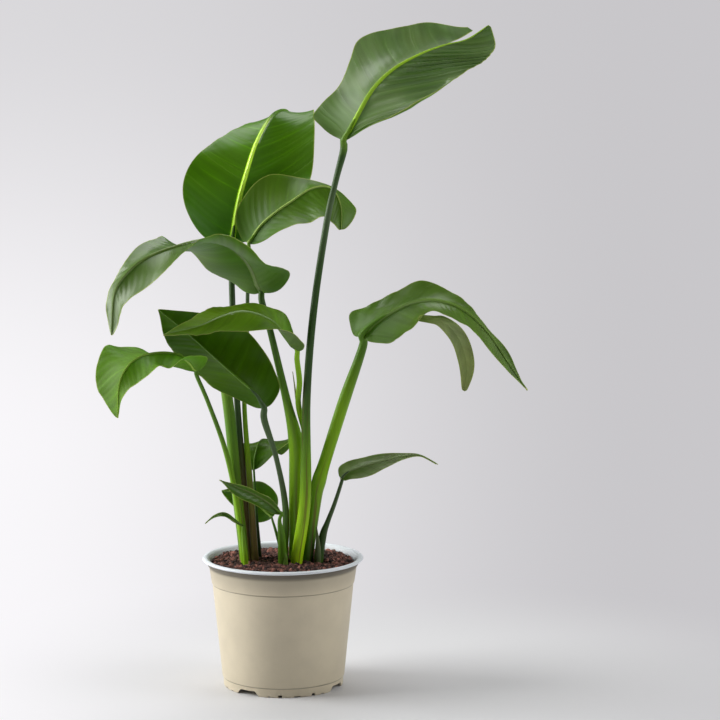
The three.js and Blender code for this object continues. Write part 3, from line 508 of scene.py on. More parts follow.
def curled(f, w, width, u, curl):
    """The outer seventh of a half rolled over along an arc between two shares of the length, the
    rest spread so that the fold keeps the half's full width; gives reach and rise."""
    _, start, stop, turn, side = curl
    flat = 6 / 7
    turned = turn * np.sqrt(np.sin(np.pi * np.clip((u - start) / (stop - start), 0, 1))) + 1e-3
    radius = (1 - flat) * width / turned
    angle = turned * np.maximum(f - flat, 0) / (1 - flat)
    reach = np.where(f > flat, flat * width + radius * np.sin(angle), w)
    widest = flat * width + radius * np.sin(np.minimum(turned, np.pi / 2))
    return reach * width / widest, side * radius * (1 - np.cos(angle))


def columns_across(width, rib, columns):
    """How far from the midline each column of a half lies: over a midrib at set shares of its
    half-width, and beyond it closing up towards the edge; without one at even shares."""
    if not rib.any():
        return width * np.linspace(0, 1, columns + 1)
    outer = np.linspace(0, 1, columns - len(RIB_COLUMNS) + 2)[1:]
    rib_here = np.minimum(rib, 0.8 * width)
    return np.hstack([rib_here * RIB_COLUMNS, rib_here + (width - rib_here) * (1 - (1 - outer) ** 1.35)])


def relief(leaf, look, s, u, f, w, full, share, length):
    """How far a half stands off its flat shape: a bow as high as belly says, a ripple that grows
    with the square of the distance from the midrib, pleats and a fine flutter of the edge.  Also
    gives the pleats alone and q, the distance along the midrib at which each side vein starts."""
    height, count, phase = leaf["wave"][s]
    bow = leaf["belly"][s] * share * full * 4 * f * (1 - f)
    bow = bow + height * f**2 * share * np.sin(2 * np.pi * (count * u + phase))
    q = u * length - look["lean"][s] * w * (1 + 0.3 * f)
    fold = smooth(0.03, 0.2, f) * (1 - 0.45 * f) * np.minimum(share, 1) ** 0.5 * smooth(0.0, 0.06, u)
    fold = fold * np.minimum(full / 30, 1) * (1 - 0.7 * smooth(0.7, 1, u))
    pleat = fold * pleats(q + 31 * s, look["gap"][s])
    bow = bow + look["pleat"][s] * pleat
    return bow + 0.5 * f**3 * share * np.sin(q / 5.5 + 2 * np.sin(q / 19.0)), pleat, q


class Midline:
    """The rows of a blade, closer together at its ends: u is each row's share of the length, from
    nought at the stalk to one at the tip.  reach holds the vectors from the midrib to the edges at
    full width, up the directions that the two halves face, and crown the one between those."""

    def __init__(self, leaf, rows):
        even = np.linspace(0, 1, rows + 1)
        share = 0.65 * even + 0.35 * (1 - np.cos(np.pi * even)) / 2
        t, self.length = by_length(leaf["mid"], share)
        self.mid, self.tangent = along(leaf["mid"], t), heading(leaf["mid"], t)
        left, right = (along(leaf[side], t) for side in ("left", "right"))
        self.reach = [left, right]
        self.up = [unit(np.cross(left, self.tangent)), -unit(np.cross(right, self.tangent))]
        self.crown = unit(self.up[0] + self.up[1])
        self.u = share[:, None]
        self.rib = leaf["rib"] * (1 - 0.75 * self.u)


def half_blade(leaf, look, s, line, columns, root):
    """The sheet of one half, the left one where s is nought and the right one where it is one.
    w is how far each point lies from the midline in millimetres and f its share of the width.  On
    a split leaf the left half parts from the midrib past the slit's start: its inner edge moves
    out, it spreads and it ends sooner.  The base springs from inside the stalk."""
    u, rib, reach, up = line.u, line.rib, line.reach[s], line.up[s]
    slit = leaf.get("slit") if s == 0 else None
    start, opening, end, wider = slit or (0.0, 0.0, 1.0, 0.0)
    parted = np.clip((u - start) / (1 - start), 0, 1) if slit else np.zeros_like(u)
    inner = opening * parted ** 1.3
    full = np.linalg.norm(reach, axis=1, keepdims=True)
    share = width_share(np.minimum(u / end, 1), leaf["outline"])
    least = (rib + 1.2) * (1 - 0.85 * smooth(0.97, 1, u))
    width = np.maximum(share * full, least) + wider * parted ** 1.3
    w = inner * width + (1 - inner) * columns_across(width, rib, columns)
    f = np.minimum(w / width, 1)
    rise = np.zeros_like(w)
    if look["curl"] and look["curl"][0] == s:
        w, rise = curled(f, w, width, u, look["curl"])
    bow, pleat, q = relief(leaf, look, s, u, f, w, full, share, line.length)
    bow = bow + rise
    p = line.mid[:, None] + reach[:, None] * (w / full)[..., None] + up[:, None] * bow[..., None]
    p = p - line.tangent[:, None] * parted[..., None] * SLIT_SHORT
    p = p - line.crown[:, None] * (0.9 * root * (1 - smooth(0, 0.05, u)) * (1 - 0.6 * f))[..., None]
    ribs_away = np.full_like(w, RIBS_AWAY)
    if leaf["rib"]:
        ribs_away = np.minimum(w / np.maximum(rib, 0.3), RIBS_AWAY)
    to_edge = (1 - f) * width
    to_edge = np.where((inner > 0) & (f < 0.7), np.minimum(to_edge, w - inner * width), to_edge)
    over_rib = np.clip(1 - (w / np.maximum(rib, 1e-6)) ** 2, 0, 1)
    beside_rib = np.exp(-((ribs_away - 1.25) / 0.3) ** 2)
    return {
        "p": p, "rib": ribs_away, "edge": to_edge, "along": np.broadcast_to(u, w.shape),
        "upright": line.crown[:, None] * np.exp(-(w / np.maximum(2.2 * rib, 0.9)) ** 2)[..., None],
        # tone follows the pleats: the finish paints shade in their troughs and a grey sheen on their crests
        "tone": np.clip(0.5 + 0.3 * pleat * look["pleat"][s], 0, 1),
        "grain": np.stack([q, w * (2 * s - 1), np.zeros_like(w)], -1),
        "keel": 1.5 * rib * np.sqrt(over_rib) * (inner == 0),
        "ridge": 0.55 * over_rib * (inner == 0) - 0.25 * beside_rib,
    }


def blade(sculpt, leaf, look, rows, columns, thickness, root, shift=0.0, paint=0):
    """A leaf blade: a sheet of rows along the midrib and columns out to each edge, bowed, rippled
    and pleated along the side veins, with a rounded midrib under it and a low ridge over it.
    root is the radius of the stalk that it springs from, shift moves its grain so that no two
    leaves are streaked alike, and paint is the first of its finishes."""
    line = Midline(leaf, rows)
    halves = [half_blade(leaf, look, s, line, columns, root) for s in (0, 1)]
    left = np.arange(halves[0]["edge"].size).reshape(halves[0]["edge"].shape)
    right = left + left.size
    joined = line.u[:, 0] <= (leaf["slit"][0] if "slit" in leaf else 1)
    right[joined, 0] = left[joined, 0]
    flat = {k: np.concatenate([half[k].reshape(-1, *half[k].shape[2:]) for half in halves])
            for k in halves[0]}
    flat["grain"] = flat["grain"] + [shift, 0, 0]
    fours = []
    for s, grid in enumerate((left, right)):
        faces = lattice(grid)
        corner = flat["p"][faces]
        facing = np.cross(corner[:, 2] - corner[:, 0], corner[:, 3] - corner[:, 1]).sum(0)
        fours.append(faces if facing @ line.up[s].mean(0) > 0 else faces[:, ::-1])
    thin = thickness / 2 * (0.45 + 0.55 * smooth(0, 6, flat["edge"]))
    above, below = thin + flat["ridge"] * (leaf["rib"] > 0), thin + flat["keel"]
    points, faces, part, used = shell(flat["p"], np.concatenate(fours), above, below, flat["upright"])
    finish = np.minimum(part, 1) + paint
    sculpt.add(points, faces, finish=finish, **{name: flat[name][used] for name in Sculpt.VALUES})


def stalk_stations(leaf):
    """The stalk's own stations, then some that bring it along the underside of the blade and let
    it thin away into the midrib."""
    last = leaf["stalk"][-1][3]
    shares = np.array([0, 0.05, 0.11, 0.19])
    t, _ = by_length(leaf["mid"], shares)
    mid, tangent = along(leaf["mid"], t), heading(leaf["mid"], t)
    left, right = (unit(np.cross(along(leaf[side], t), tangent)) for side in ("left", "right"))
    crown = unit(left - right)
    drop = last * np.array([[0.95], [0.80], [0.52], [0.34]])
    ends = np.hstack([mid - crown * drop, last * np.array([[0.9], [0.6], [0.42], [0.2]])])
    return [*leaf["stalk"], *ends.tolist()]


# Finishes.
def arithmetic(operation, flipped=False):
    """The method behind one of Python's operators: it adds a Math node."""

    def method(self, other):
        values = (other, self) if flipped else (self, other)
        return self.finish.node("ShaderNodeMath", {"operation": operation}, values)

    return method


class Signal:
    """One output of a finish's node.  Arithmetic on it adds Math nodes."""

    def __init__(self, finish, socket):
        self.finish, self.socket = finish, socket

    __add__ = __radd__ = arithmetic("ADD")
    __sub__ = arithmetic("SUBTRACT")
    __rsub__ = arithmetic("SUBTRACT", flipped=True)
    __mul__ = __rmul__ = arithmetic("MULTIPLY")

    def __abs__(self):
        return self.finish.node("ShaderNodeMath", {"operation": "ABSOLUTE"}, (self,))


class Finish:
    """A material or world built from expressions."""

    def __init__(self, name, owner=None):
        self.owner = owner or bpy.data.materials.new(name)
        self.owner.use_nodes = True
        self.tree = self.owner.node_tree
        self.tree.nodes.clear()

    def node(self, kind, settings=None, inputs=(), output=0):
        """One node: its settings first, then its sockets by place or by name."""
        node = self.tree.nodes.new(kind)
        for key, value in (settings or {}).items():
            if key == "stops":
                ramp = node.color_ramp
                while len(ramp.elements) < len(value):
                    ramp.elements.new(0.5)
                for element, (position, colour) in zip(ramp.elements, value):
                    element.position, element.color = position, (*colour, 1.0)
            else:
                setattr(node, key, value)
        for key, value in (inputs.items() if isinstance(inputs, dict) else enumerate(inputs)):
            socket = node.inputs[key]
            if isinstance(value, Signal):
                self.tree.links.new(value.socket, socket)
            elif value is not None:
                socket.default_value = (*value, 1.0) if socket.type == "RGBA" and len(value) == 3 else value
        return Signal(self, node.outputs[output])

    def value(self, name, vector=False):
        """What the piece says of itself at each point."""
        return self.node("ShaderNodeAttribute", {"attribute_name": name}, output=1 if vector else 2)

    def place(self):
        """Where a point is on the object, in metres."""
        return self.node("ShaderNodeTexCoord", output=3)

    def noise(self, where, size, detail=3.0, roughness=0.55):
        """Noise whose lumps are about size across; size is one number, or three to stretch it."""
        scale = (1 / size,) * 3 if isinstance(size, (int, float)) else tuple(1 / s for s in size)
        fitted = self.node("ShaderNodeMapping", None, {"Vector": where, "Scale": scale})
        return self.node("ShaderNodeTexNoise", None,
                         {"Vector": fitted, "Scale": 1.0, "Detail": detail, "Roughness": roughness})

    def step(self, low, high, value):
        """Nought at low and one at high, smoothly; low may be the larger."""
        if low > high:
            return 1 - self.step(high, low, value)
        return self.node("ShaderNodeMapRange", {"interpolation_type": "SMOOTHSTEP"},
                         {"Value": value, "From Min": low, "From Max": high})

    def mix(self, factor, a, b):
        """Colour a where factor is nought and b where it is one."""
        return self.node("ShaderNodeMix", {"data_type": "RGBA"}, {0: factor, 6: a, 7: b}, output=2)

    def ramp(self, value, colours):
        """Colours spread evenly from nought to one."""
        stops = [(i / (len(colours) - 1), c) for i, c in enumerate(colours)]
        return self.node("ShaderNodeValToRGB", {"stops": stops}, {"Fac": value})

    def bump(self, height, distance, strength=1.0):
        """Normals tilted by a height; distance is how high its full range stands, in metres."""
        return self.node("ShaderNodeBump", None,
                         {"Height": height, "Distance": distance, "Strength": strength})

    def principled(self, colour, roughness, normal=None, **fixed):
        """The usual shader; fixed holds sockets that are the same all over, _ for each space."""
        inputs = {"Base Color": colour, "Roughness": roughness, "Normal": normal}
        inputs.update({key.replace("_", " "): value for key, value in fixed.items()})
        return self.node("ShaderNodeBsdfPrincipled", None, inputs)

    def surface(self, shader, kind="ShaderNodeOutputMaterial"):
        """Joins the shader to the output and gives the material or world."""
        output = self.tree.nodes.new(kind)
        self.tree.links.new(shader.socket, output.inputs["Surface"])
        return self.owner


def blade_finish(name, look, under):
    """One face of a blade: streaks and fine lines along the side veins, a pale midrib and margin,
    slow patches of tone, painted shade in the troughs of the pleats and a painted grey sheen on
    their crests, and light that comes through from behind."""
    f = Finish(name)
    grain, rib, edge, length = f.value("grain", True), f.value("rib"), f.value("edge"), f.value("along")
    streaks = f.noise(grain, (1.3, 70, 1), 2.0)
    bands = f.noise(grain, (16, 160, 1), 2.0)
    veins = f.noise(grain, (3.2, 260, 1), 1.0, 0.4)
    lines = f.step(0.60, 0.70, veins)
    patches = f.noise(f.place(), 0.045, 2.0)
    # broad bands, slow patches, then painted shade in the troughs of the pleats and a painted grey sheen on
    # their crests
    body = np.array(look["under"] if under else look["upper"])
    vein, light = np.array(look["rib"]), np.array(look["glow"])
    tint = f.mix(f.step(0.3, 0.7, bands), body * 0.82, body * 1.20)
    tint = f.mix(f.step(0.35, 0.65, patches) * 0.5, tint, body * (1.25, 1.10, 0.8))
    tone = f.value("tone")
    tint = f.mix(f.step(0.4, 0.05, tone) * 0.6, tint, body * (0.5, 0.62, 0.25))
    tint = f.mix(f.step(0.6, 0.95, tone) * 0.55, tint, body * (1.9, 1.7, 2.2))
    # side veins and streaks, which fade towards the tip
    calm = f.step(0.95, 0.5, length)
    tint = f.mix(lines * calm * (0.16 if under else 0.10), tint, vein * 0.7)
    tint = f.mix(f.step(0.35, 0.75, streaks) * 0.28 * calm, tint, body * 1.7)
    # pale creases that wander across, then the midrib and the margin
    mask = f.step(look["wide"], 0.7 * look["wide"], rib)
    across = f.node("ShaderNodeSeparateXYZ", None, {"Vector": grain})
    wander = f.noise(grain, (55, 240, 1), 1.0)
    phase = across * (2 * math.pi / look["crease"]) + wander * 9
    wave = f.node("ShaderNodeMath", {"operation": "COSINE"}, (phase,))
    tint = f.mix(f.step(0.975, 0.999, wave) * look["faint"] * f.step(0, 30, edge), tint, body * 2.6)
    tint = f.mix(mask * f.step(look["rib_end"] + 0.12, look["rib_end"], length), tint,
                 vein * (0.75 if under else 1.0))
    margin = f.step(1.3, 0.35, edge)
    tint = f.mix(margin * 0.8, tint, look["edge"])
    # relief, a purer green at the base, and the sheen, duller at the base and the tip
    relief = f.bump((lines * 0.4 + bands) * calm, 0.0009, 0.4)
    gloss = look["gloss"] + (0.16 if under else 0.0)
    base = f.step(0.34, 0.05, length)
    tint = f.mix(base * 0.5 * (1 - mask), tint, body * (0.75, 1.0, 0.12))
    rough = f.step(0.2, 0.8, patches) * 0.10 + (gloss - 0.04) + 0.1 * streaks
    rough = rough + 0.22 * base + look["matt"] * f.step(0.5, 0.85, length)
    skin = f.principled(tint, rough, relief, Specular_IOR_Level=look["shine"])
    # light from behind, which the midrib holds back
    glow = f.mix(f.step(0.3, 0.7, bands), light * 0.8, light)
    glow = f.mix(mask, glow, light * (0.5, 0.35, 1.0))
    lit = f.node("ShaderNodeBsdfTranslucent", None, {"Color": glow})
    return f.surface(f.node("ShaderNodeMixShader", None, {0: 0.38 - 0.36 * mask, 1: skin, 2: lit}))


def stalk_finish(name, colours):
    """A petiole: its colours from the soil up, fine lengthwise lines and a soft sheen."""
    f = Finish(name)
    grain, length, tone = f.value("grain", True), f.value("along"), f.value("tone")
    lines = f.noise(grain, (0.9, 0.9, 60), 2.0)
    cloud = f.noise(grain, (6, 6, 45), 2.0)
    tint = f.ramp(length + (cloud - 0.5) * 0.12, colours)
    shade = f.node("ShaderNodeMix", {"data_type": "RGBA", "blend_type": "MULTIPLY"},
                   {0: 1.0, 6: tint, 7: f.ramp(lines, [(0.72,) * 3, (1.0,) * 3, (1.28,) * 3])}, output=2)
    margins = f.step(0.60, 0.70, f.noise(grain, (2.4, 2.4, 260), 1.0)) * f.step(0.55, 0.25, length)
    shade = f.mix(margins * 0.6, shade, (0.13, 0.05, 0.018))
    shade = f.mix(tone, shade, STRAW)
    relief = f.bump(lines, 0.0004, 0.5)
    return f.surface(f.principled(shade, 0.34 + 0.12 * lines, relief, Specular_IOR_Level=0.25))


def pot_finish(colour):
    """Matt moulded plastic: a whisper of mottle, fine upright draw marks, and painted shade in the grooves
    and under the lip.
    """
    f = Finish("pot_outside")
    place = f.place()
    mottle = f.noise(place, 0.03, 3.0)
    marks = f.noise(place, (0.0016, 0.0016, 0.09), 2.0)
    body = np.array(colour)
    tint = f.mix(f.step(0.3, 0.7, mottle), body * 0.965, body * 1.03)
    tint = f.mix(f.step(0.62, 0.8, marks) * 0.25, tint, body * 0.9)
    height = f.node("ShaderNodeSeparateXYZ", None, {"Vector": place}, output=2)
    # painted shade: a dark line in each of the two grooves
    for _, level in (UPPER_GROOVE, LOWER_GROOVE):
        tint = f.mix(f.step(0.0009, 0.0003, abs(height - (level - 0.4) * MM)) * 0.6, tint, body * 0.3)
    # painted shade under the lip: the band below it darker, and darkest just beneath it
    tint = f.mix(f.step(116 * MM, 140 * MM, height) * 0.30, tint, body * 0.16)
    tint = f.mix(f.step(139.5 * MM, 144 * MM, height) * 0.75, tint, body * 0.10)
    grain = f.noise(place, 0.0007, 2.0)
    relief = f.bump(grain * 0.6 + marks * 0.5, 0.00012, 0.5)
    return f.surface(f.principled(tint, 0.50 + 0.10 * mottle, relief))


def lip_finish(colour):
    """The pale lip and inside of the pot, smoother than its outside, dusty above the soil."""
    f = Finish("pot_inside")
    place = f.place()
    dust = f.noise(place, 0.012, 4.0)
    height = f.node("ShaderNodeSeparateXYZ", None, {"Vector": place}, output=2)
    dirty = f.step(152 * MM, 147 * MM, height) * f.step(0.45, 0.7, dust)
    tint = f.mix(dirty * 0.35, colour, (0.30, 0.22, 0.17))
    relief = f.bump(f.noise(place, 0.0009, 2.0), 0.0001, 0.4)
    return f.surface(f.principled(tint, 0.36 + 0.14 * dust, relief))


def soil_finish(name, colour, deep):
    """Crumbly earth: each granule has its own tone, with grit on it."""
    f = Finish(name)
    place, tone = f.place(), f.value("tone")
    grit = f.noise(place, 0.0007, 4.0, 0.7)
    lumps = f.noise(place, 0.006, 2.0)
    # the bed under the granules is a third as bright: painted shade for the dark gaps between them
    body = np.array(colour) * (0.3 if deep else 1.0)
    tint = f.ramp(tone, [body * 0.05, body * 0.35, body, body * (2.6, 2.5, 2.5)])
    tint = f.mix(f.step(0.35, 0.75, grit) * 0.45, tint, body * 0.35)
    tint = f.mix(f.step(0.6, 0.75, lumps) * 0.3, tint, body * (1.6, 1.3, 1.2))
    relief = f.bump(grit, 0.0007, 0.8)
    return f.surface(f.principled(tint, 0.8 + 0.15 * grit, relief))


# What a user would change.
def colour_prop(name, description, default):
    """A linear colour with a swatch."""
    return bpy.props.FloatVectorProperty(name=name, description=description, default=default,
                                         size=3, min=0, max=1, subtype="COLOR")


class PotSettings(bpy.types.PropertyGroup):
    """The nursery pot"""
    outside: colour_prop("Outside", "Colour of the pot's outside", (0.64, 0.565, 0.415))
    inside: colour_prop("Lip and inside", "Colour of the lip and the inside", (0.74, 0.78, 0.82))
    around: bpy.props.IntProperty(name="Steps around", description="Faces round the wall",
                                  default=360, min=48)


class SoilSettings(bpy.types.PropertyGroup):
    """The granular soil"""
    colour: colour_prop("Soil", "Colour of the granules", (0.165, 0.068, 0.050))
    spacing: bpy.props.FloatProperty(name="Spacing", description="Distance between granules, in millimetres",
                                     default=3.1, min=1.5)
    granule: bpy.props.FloatProperty(name="Granule", description="Mean radius of a granule, in millimetres",
                                     default=2.2, min=0.5)


class LeafSettings(bpy.types.PropertyGroup):
    """The leaves"""
    thickness: bpy.props.FloatProperty(name="Blade thickness", description="In millimetres",
                                       default=0.8, min=0.3)
    rows: bpy.props.IntProperty(name="Rows", description="Rows along a large blade",
                                default=170, min=20)
    columns: bpy.props.IntProperty(name="Columns", description="Columns across half a large blade",
                                   default=30, min=8)
    young: colour_prop("Young leaf", "Colour of the leaf that is still rolled", (0.13, 0.26, 0.012))


def power_prop(name, description, default):
    """The power of a lamp."""
    return bpy.props.FloatProperty(name=name, description=description, default=default, min=0,
                                   unit="POWER")


class StageSettings(bpy.types.PropertyGroup):
    """The floor and lights"""
    floor: colour_prop("Floor", "Colour of the floor", (0.66, 0.66, 0.67))
    key: power_prop("Left light", "Power of the left softbox", 36.0)
    fill: power_prop("Right light", "Power of the right softbox", 17.0)
    top: power_prop("Top light", "Power of the softbox above", 19.0)


# The pot.
def rounded(profile, radii, steps=4):
    """A profile with each corner replaced by a short curve: the corner pulls points from where
    its radius meets its two sides."""
    p, r = np.array(profile, float), np.array(radii, float)[:, None]
    before, after = p[:-2] - p[1:-1], p[2:] - p[1:-1]
    shorter = np.minimum(np.linalg.norm(before, axis=1), np.linalg.norm(after, axis=1))[:, None]
    reach = np.minimum(r[1:-1], 0.45 * shorter)
    a, b, c = p[1:-1] + unit(before) * reach, p[1:-1] + unit(after) * reach, p[1:-1]
    s = np.linspace(0, 1, steps + 1)[:, None, None]
    bend = (1 - s) ** 2 * a + 2 * s * (1 - s) * c + s**2 * b
    return np.vstack([p[:1], bend.transpose(1, 0, 2).reshape(-1, 2), p[-1:]])


def pot_profile():
    """Radius and height from the middle of the base, out, up, over the lip and down inside; the
    third number of a corner is how far its rounding reaches."""
    (ru, zu), (rl, zl) = UPPER_GROOVE, LOWER_GROOVE
    corners = [
        (0, 0, 0), (BOSS_R - 1, 0, 0.6), (BOSS_R + 1, FLOOR_Z, 0.8), (FOOT_R - 2.4, FLOOR_Z, 0.5),
        (FOOT_R - 1.8, 0, 0.25), (FOOT_R - 0.3, 0, 0.3), (FOOT_R + 0.1, 1.0, 0.3),
        (rl - 0.3, zl - 1.1, 0.3), (rl - 0.1, zl - 0.2, 0.3), (rl + 0.9, zl + 0.6, 0.5),
        (ru - 0.6, zu - 1.2, 0.5), (ru - 0.9, zu - 0.5, 0.2), (ru + 0.3, zu + 0.2, 0.5),
        (NECK_R, 142.4, 0.6), (NECK_R + 0.3, 143.4, 0.3), (NECK_R + 2.0, 144.6, 0.8),
        (NECK_R + 2.0, 149.0, 0.4), (RIM_R - 1.2, 149.8, 0.5), (RIM_R, 151.0, 0.7),
        (RIM_R - 0.3, 152.2, 0.9), (RIM_R - 2.0, POT_H - 0.1, 0.9), (RIM_R - 4.6, POT_H - 0.1, 1.0),
        (NECK_R + 0.4, 151.6, 1.4), (NECK_R - 1.0, 147.6, 1.2), (ru - 1.4, zu, 0.5),
        (ru - 2.5, zu - 1.2, 0.5), (rl - 1.0, zl + 0.8, 0.6), (FOOT_R - 2.0, FLOOR_Z + WALL, 0.8),
        (BOSS_R - 0.8, FLOOR_Z + WALL, 0.8), (BOSS_R - 2.4, WALL, 0.6), (0, WALL, 0),
    ]
    corners = np.array(corners)
    return rounded(corners[:, :2], corners[:, 2])


def foot_lift(angle):
    """How high the foot's skirt is cut away at each angle: a flat-topped gap with sloping sides."""
    lift = np.zeros_like(angle)
    for at, low, top, height in FOOT_GAPS:
        for half_turn in (0, 180):
            centre = math.radians(at + half_turn - 90)
            aside = np.abs((angle - centre + np.pi) % (2 * np.pi) - np.pi) * FOOT_R
            slope = np.clip((low / 2 - aside) / max((low - top) / 2, 0.05), 0, 1)
            lift = np.maximum(lift, height * slope)
    return lift


def gap_angles():
    """Angles at the corners of the gaps in the foot, and just beside them."""
    at = np.array([(a + half_turn - 90, low, top) for a, low, top, _ in FOOT_GAPS for half_turn in (0, 180)])
    reach = np.stack([at[:, 1], at[:, 2]], 1) / 2 / FOOT_R
    centre = np.radians(at[:, 0:1])
    return np.concatenate([centre + reach, centre - reach]).ravel() % (2 * np.pi)


class PLANT_OT_pot(bpy.types.Operator):
    """Turns the pot from its profile, with the gaps of its foot and its drain holes"""
    bl_idname = "plant.make_pot"
    bl_label = "Pot"

    def execute(self, context):
        settings = context.scene.plant_pot
        profile = pot_profile()
        angle = np.unique(np.round(np.concatenate([
            np.linspace(0, 2 * np.pi, settings.around, endpoint=False), gap_angles()]), 5))
        angle = angle[np.concatenate([[True], np.diff(angle) > 2e-4])]
        r, z = profile[1:-1, 0][:, None], profile[1:-1, 1][:, None]
        lift = foot_lift(angle)[None, :]
        skirt = (r > FOOT_R - 2.6) & (z < FLOOR_Z)
        z = np.where(skirt, np.maximum(z, lift), z)
        r = np.broadcast_to(r, z.shape)
        ring = np.stack([r * np.cos(angle), r * np.sin(angle), z], -1)
        points = np.vstack([ring.reshape(-1, 3), [0, 0, profile[0, 1]], [0, 0, profile[-1, 1]]])
        lip = np.arange(len(profile) - 3) >= np.argmax(profile[1:-1, 1] > LIP_Z)
        sculpt = Sculpt()
        sculpt.add(points, *closed_body(*ring.shape[:2]), np.repeat(lip.astype(int), len(angle)))
        finishes = [pot_finish(tuple(settings.outside)), lip_finish(tuple(settings.inside))]
        pot = sculpt.piece("pot_shell", finishes, "pot", "pot", sharp=40)
        drill_drains(pot)
        return {"FINISHED"}


def drill_drains(pot):
    """Cuts the six drain holes through the raised floor."""
    sides, bottom, top = 32, FLOOR_Z - 2, FLOOR_Z + 4
    turn = np.linspace(0, 2 * np.pi, sides, endpoint=False)
    fours, threes = closed_body(2, sides)
    points, faces = [], []
    for hole in range(6):
        bearing = (hole + 0.5) * math.pi / 3
        middle = DRAIN_RING * np.array([math.cos(bearing), math.sin(bearing)])
        ring = middle + DRAIN_R * np.column_stack([np.cos(turn), np.sin(turn)])
        faces += (fours + len(points)).tolist() + (threes + len(points)).tolist()
        for height in (bottom, top):
            points += np.column_stack([ring, np.full(sides, height)]).tolist()
        points += [[*middle, bottom], [*middle, top]]
    mesh = bpy.data.meshes.new("drills")
    mesh.from_pydata((np.array(points) * MM).tolist(), [], faces)
    cutter = bpy.data.objects.new("drills", mesh)
    bpy.context.scene.collection.objects.link(cutter)
    cut = pot.modifiers.new("drain_holes", "BOOLEAN")
    cut.operation, cut.object, cut.solver = "DIFFERENCE", cutter, "EXACT"
    drilled = bpy.data.meshes.new_from_object(pot.evaluated_get(bpy.context.evaluated_depsgraph_get()))
    pot.modifiers.clear()
    pot.data = drilled
    bpy.data.objects.remove(cutter)


# The soil.
def stems():
    """x, y and radius of each stem at its second station, where it leaves the soil."""
    stalks = [leaf["stalk"] for leaf in LEAVES.values()] + [YOUNG_LEAF]
    return np.array([along(s, np.array([1.0]))[0][[0, 1, 3]] for s in stalks])


def soil_height(x, y):
    """The surface of the soil: a low middle rise and lumps of several sizes."""
    r = np.hypot(x, y)
    lumps = 0.7 * np.sin(x / 7.3 + 1.7 * np.sin(y / 11.0)) + 0.6 * np.sin(y / 6.1 + 1.3 * np.sin(x / 9.0) + 2)
    return SOIL_Z - 1.2 + 1.0 * (79 - r) / 79 + 0.8 * lumps


class PLANT_OT_soil(bpy.types.Operator):
    """Fills the pot with soil and strews its surface with granules"""
    bl_idname = "plant.make_soil"
    bl_label = "Soil"

    def execute(self, context):
        settings = context.scene.plant_soil
        sculpt = Sculpt()
        self.fill(sculpt)
        self.strew(sculpt, settings.spacing, settings.granule)
        colour = tuple(settings.colour)
        finishes = [soil_finish("soil_deep", colour, True), soil_finish("soil_granules", colour, False)]
        sculpt.piece("soil_bed", finishes, "soil", "soil")
        return {"FINISHED"}

    def fill(self, sculpt):
        """A closed body: up the inside of the pot, then rings over the lumpy surface."""
        (ru, zu), (rl, zl) = UPPER_GROOVE, LOWER_GROOVE
        wall = np.array([
            (BOSS_R - 3.0, WALL + CLEAR), (BOSS_R - 1.4, FLOOR_Z + WALL + CLEAR),
            (FOOT_R - 2.6, FLOOR_Z + WALL + CLEAR), (rl - 1.6, zl + 0.9),
            (ru - 3.1, zu - 1.5), (ru - 2.0, zu + 0.4), (NECK_R - 2.7, 144.0)])
        around = 180
        a = np.linspace(0, 2 * np.pi, around, endpoint=False)
        r = np.concatenate([wall[:, 0], np.linspace(83.6, 1.2, 60)])[:, None]
        x, y = r * np.cos(a), r * np.sin(a)
        z = soil_height(x, y)
        z[:len(wall)] = wall[:, 1:2]
        points = np.vstack([np.stack([x, y, z], -1).reshape(-1, 3), [0, 0, wall[0, 1]], [0, 0, SOIL_Z]])
        sculpt.add(points, *closed_body(*x.shape), 0, tone=0.35)

    def strew(self, sculpt, spacing, radius):
        """Granules on a jittered grid, each a lumpy ball of six sides and three rings, turned,
        stretched and toned at random, kept off the stems and the wall."""
        rng = np.random.default_rng(11)
        side = np.arange(-84, 84.1, spacing)
        x, y = np.meshgrid(side, side * 0.866)
        x = x + (np.arange(len(side)) % 2)[:, None] * spacing / 2
        at = np.column_stack([x.ravel(), y.ravel()]) + rng.uniform(-0.36, 0.36, (x.size, 2)) * spacing
        size = radius * rng.uniform(0.6, 1.35, len(at))
        stem = stems()
        room = np.hypot(*(at[:, None] - stem[None, :, :2]).transpose(2, 0, 1)) - stem[:, 2]
        keep = (np.hypot(at[:, 0], at[:, 1]) + size < 85.0) & (room.min(1) > 0.2)
        at, size = at[keep], size[keep]
        n = len(at)
        ring = np.linspace(0, 2 * np.pi, 6, endpoint=False)
        levels = [(-0.62, 0.78), (0.05, 1.0), (0.66, 0.72)]
        ball = np.array([(c * math.cos(a + 0.5 * k), c * math.sin(a + 0.5 * k), h)
                         for k, (h, c) in enumerate(levels) for a in ring] + [(0, 0, -1), (0, 0, 1)])
        lump = ball[None] * rng.uniform(0.78, 1.22, (n, len(ball), 1))
        lump = lump * rng.uniform(0.7, 1.3, (n, 1, 3))
        axis, angle = unit(rng.normal(size=(n, 3))), rng.uniform(0, 2 * np.pi, (n, 1, 1))
        k = axis[:, None, :]
        lump = (lump * np.cos(angle) + np.cross(np.broadcast_to(k, lump.shape), lump) * np.sin(angle)
                + k * (lump * k).sum(-1, keepdims=True) * (1 - np.cos(angle)))
        z = soil_height(at[:, 0], at[:, 1]) + size * rng.uniform(-0.1, 0.75, n)
        place = np.column_stack([at, np.minimum(z, POT_H - 3.5)])
        points = place[:, None] + lump * size[:, None, None]
        fours, threes = closed_body(3, 6)
        step = (np.arange(n) * len(ball))[:, None, None]
        tone = np.repeat(rng.uniform(0, 1, n) ** 1.2, len(ball))
        fours, threes = (fours + step).reshape(-1, 4), (threes + step).reshape(-1, 3)
        sculpt.add(points.reshape(-1, 3), fours, threes, 1, tone=tone)


# The leaves.
def petiole_section(angle, share):
    """Round below, with a shallow groove on the viewer's left above, and faint facets."""
    groove = np.exp(-((np.cos(angle) + 1) / 0.18)) * smooth(0.25, 0.7, share)
    return 1 - 0.13 * groove + 0.012 * np.cos(7 * angle)


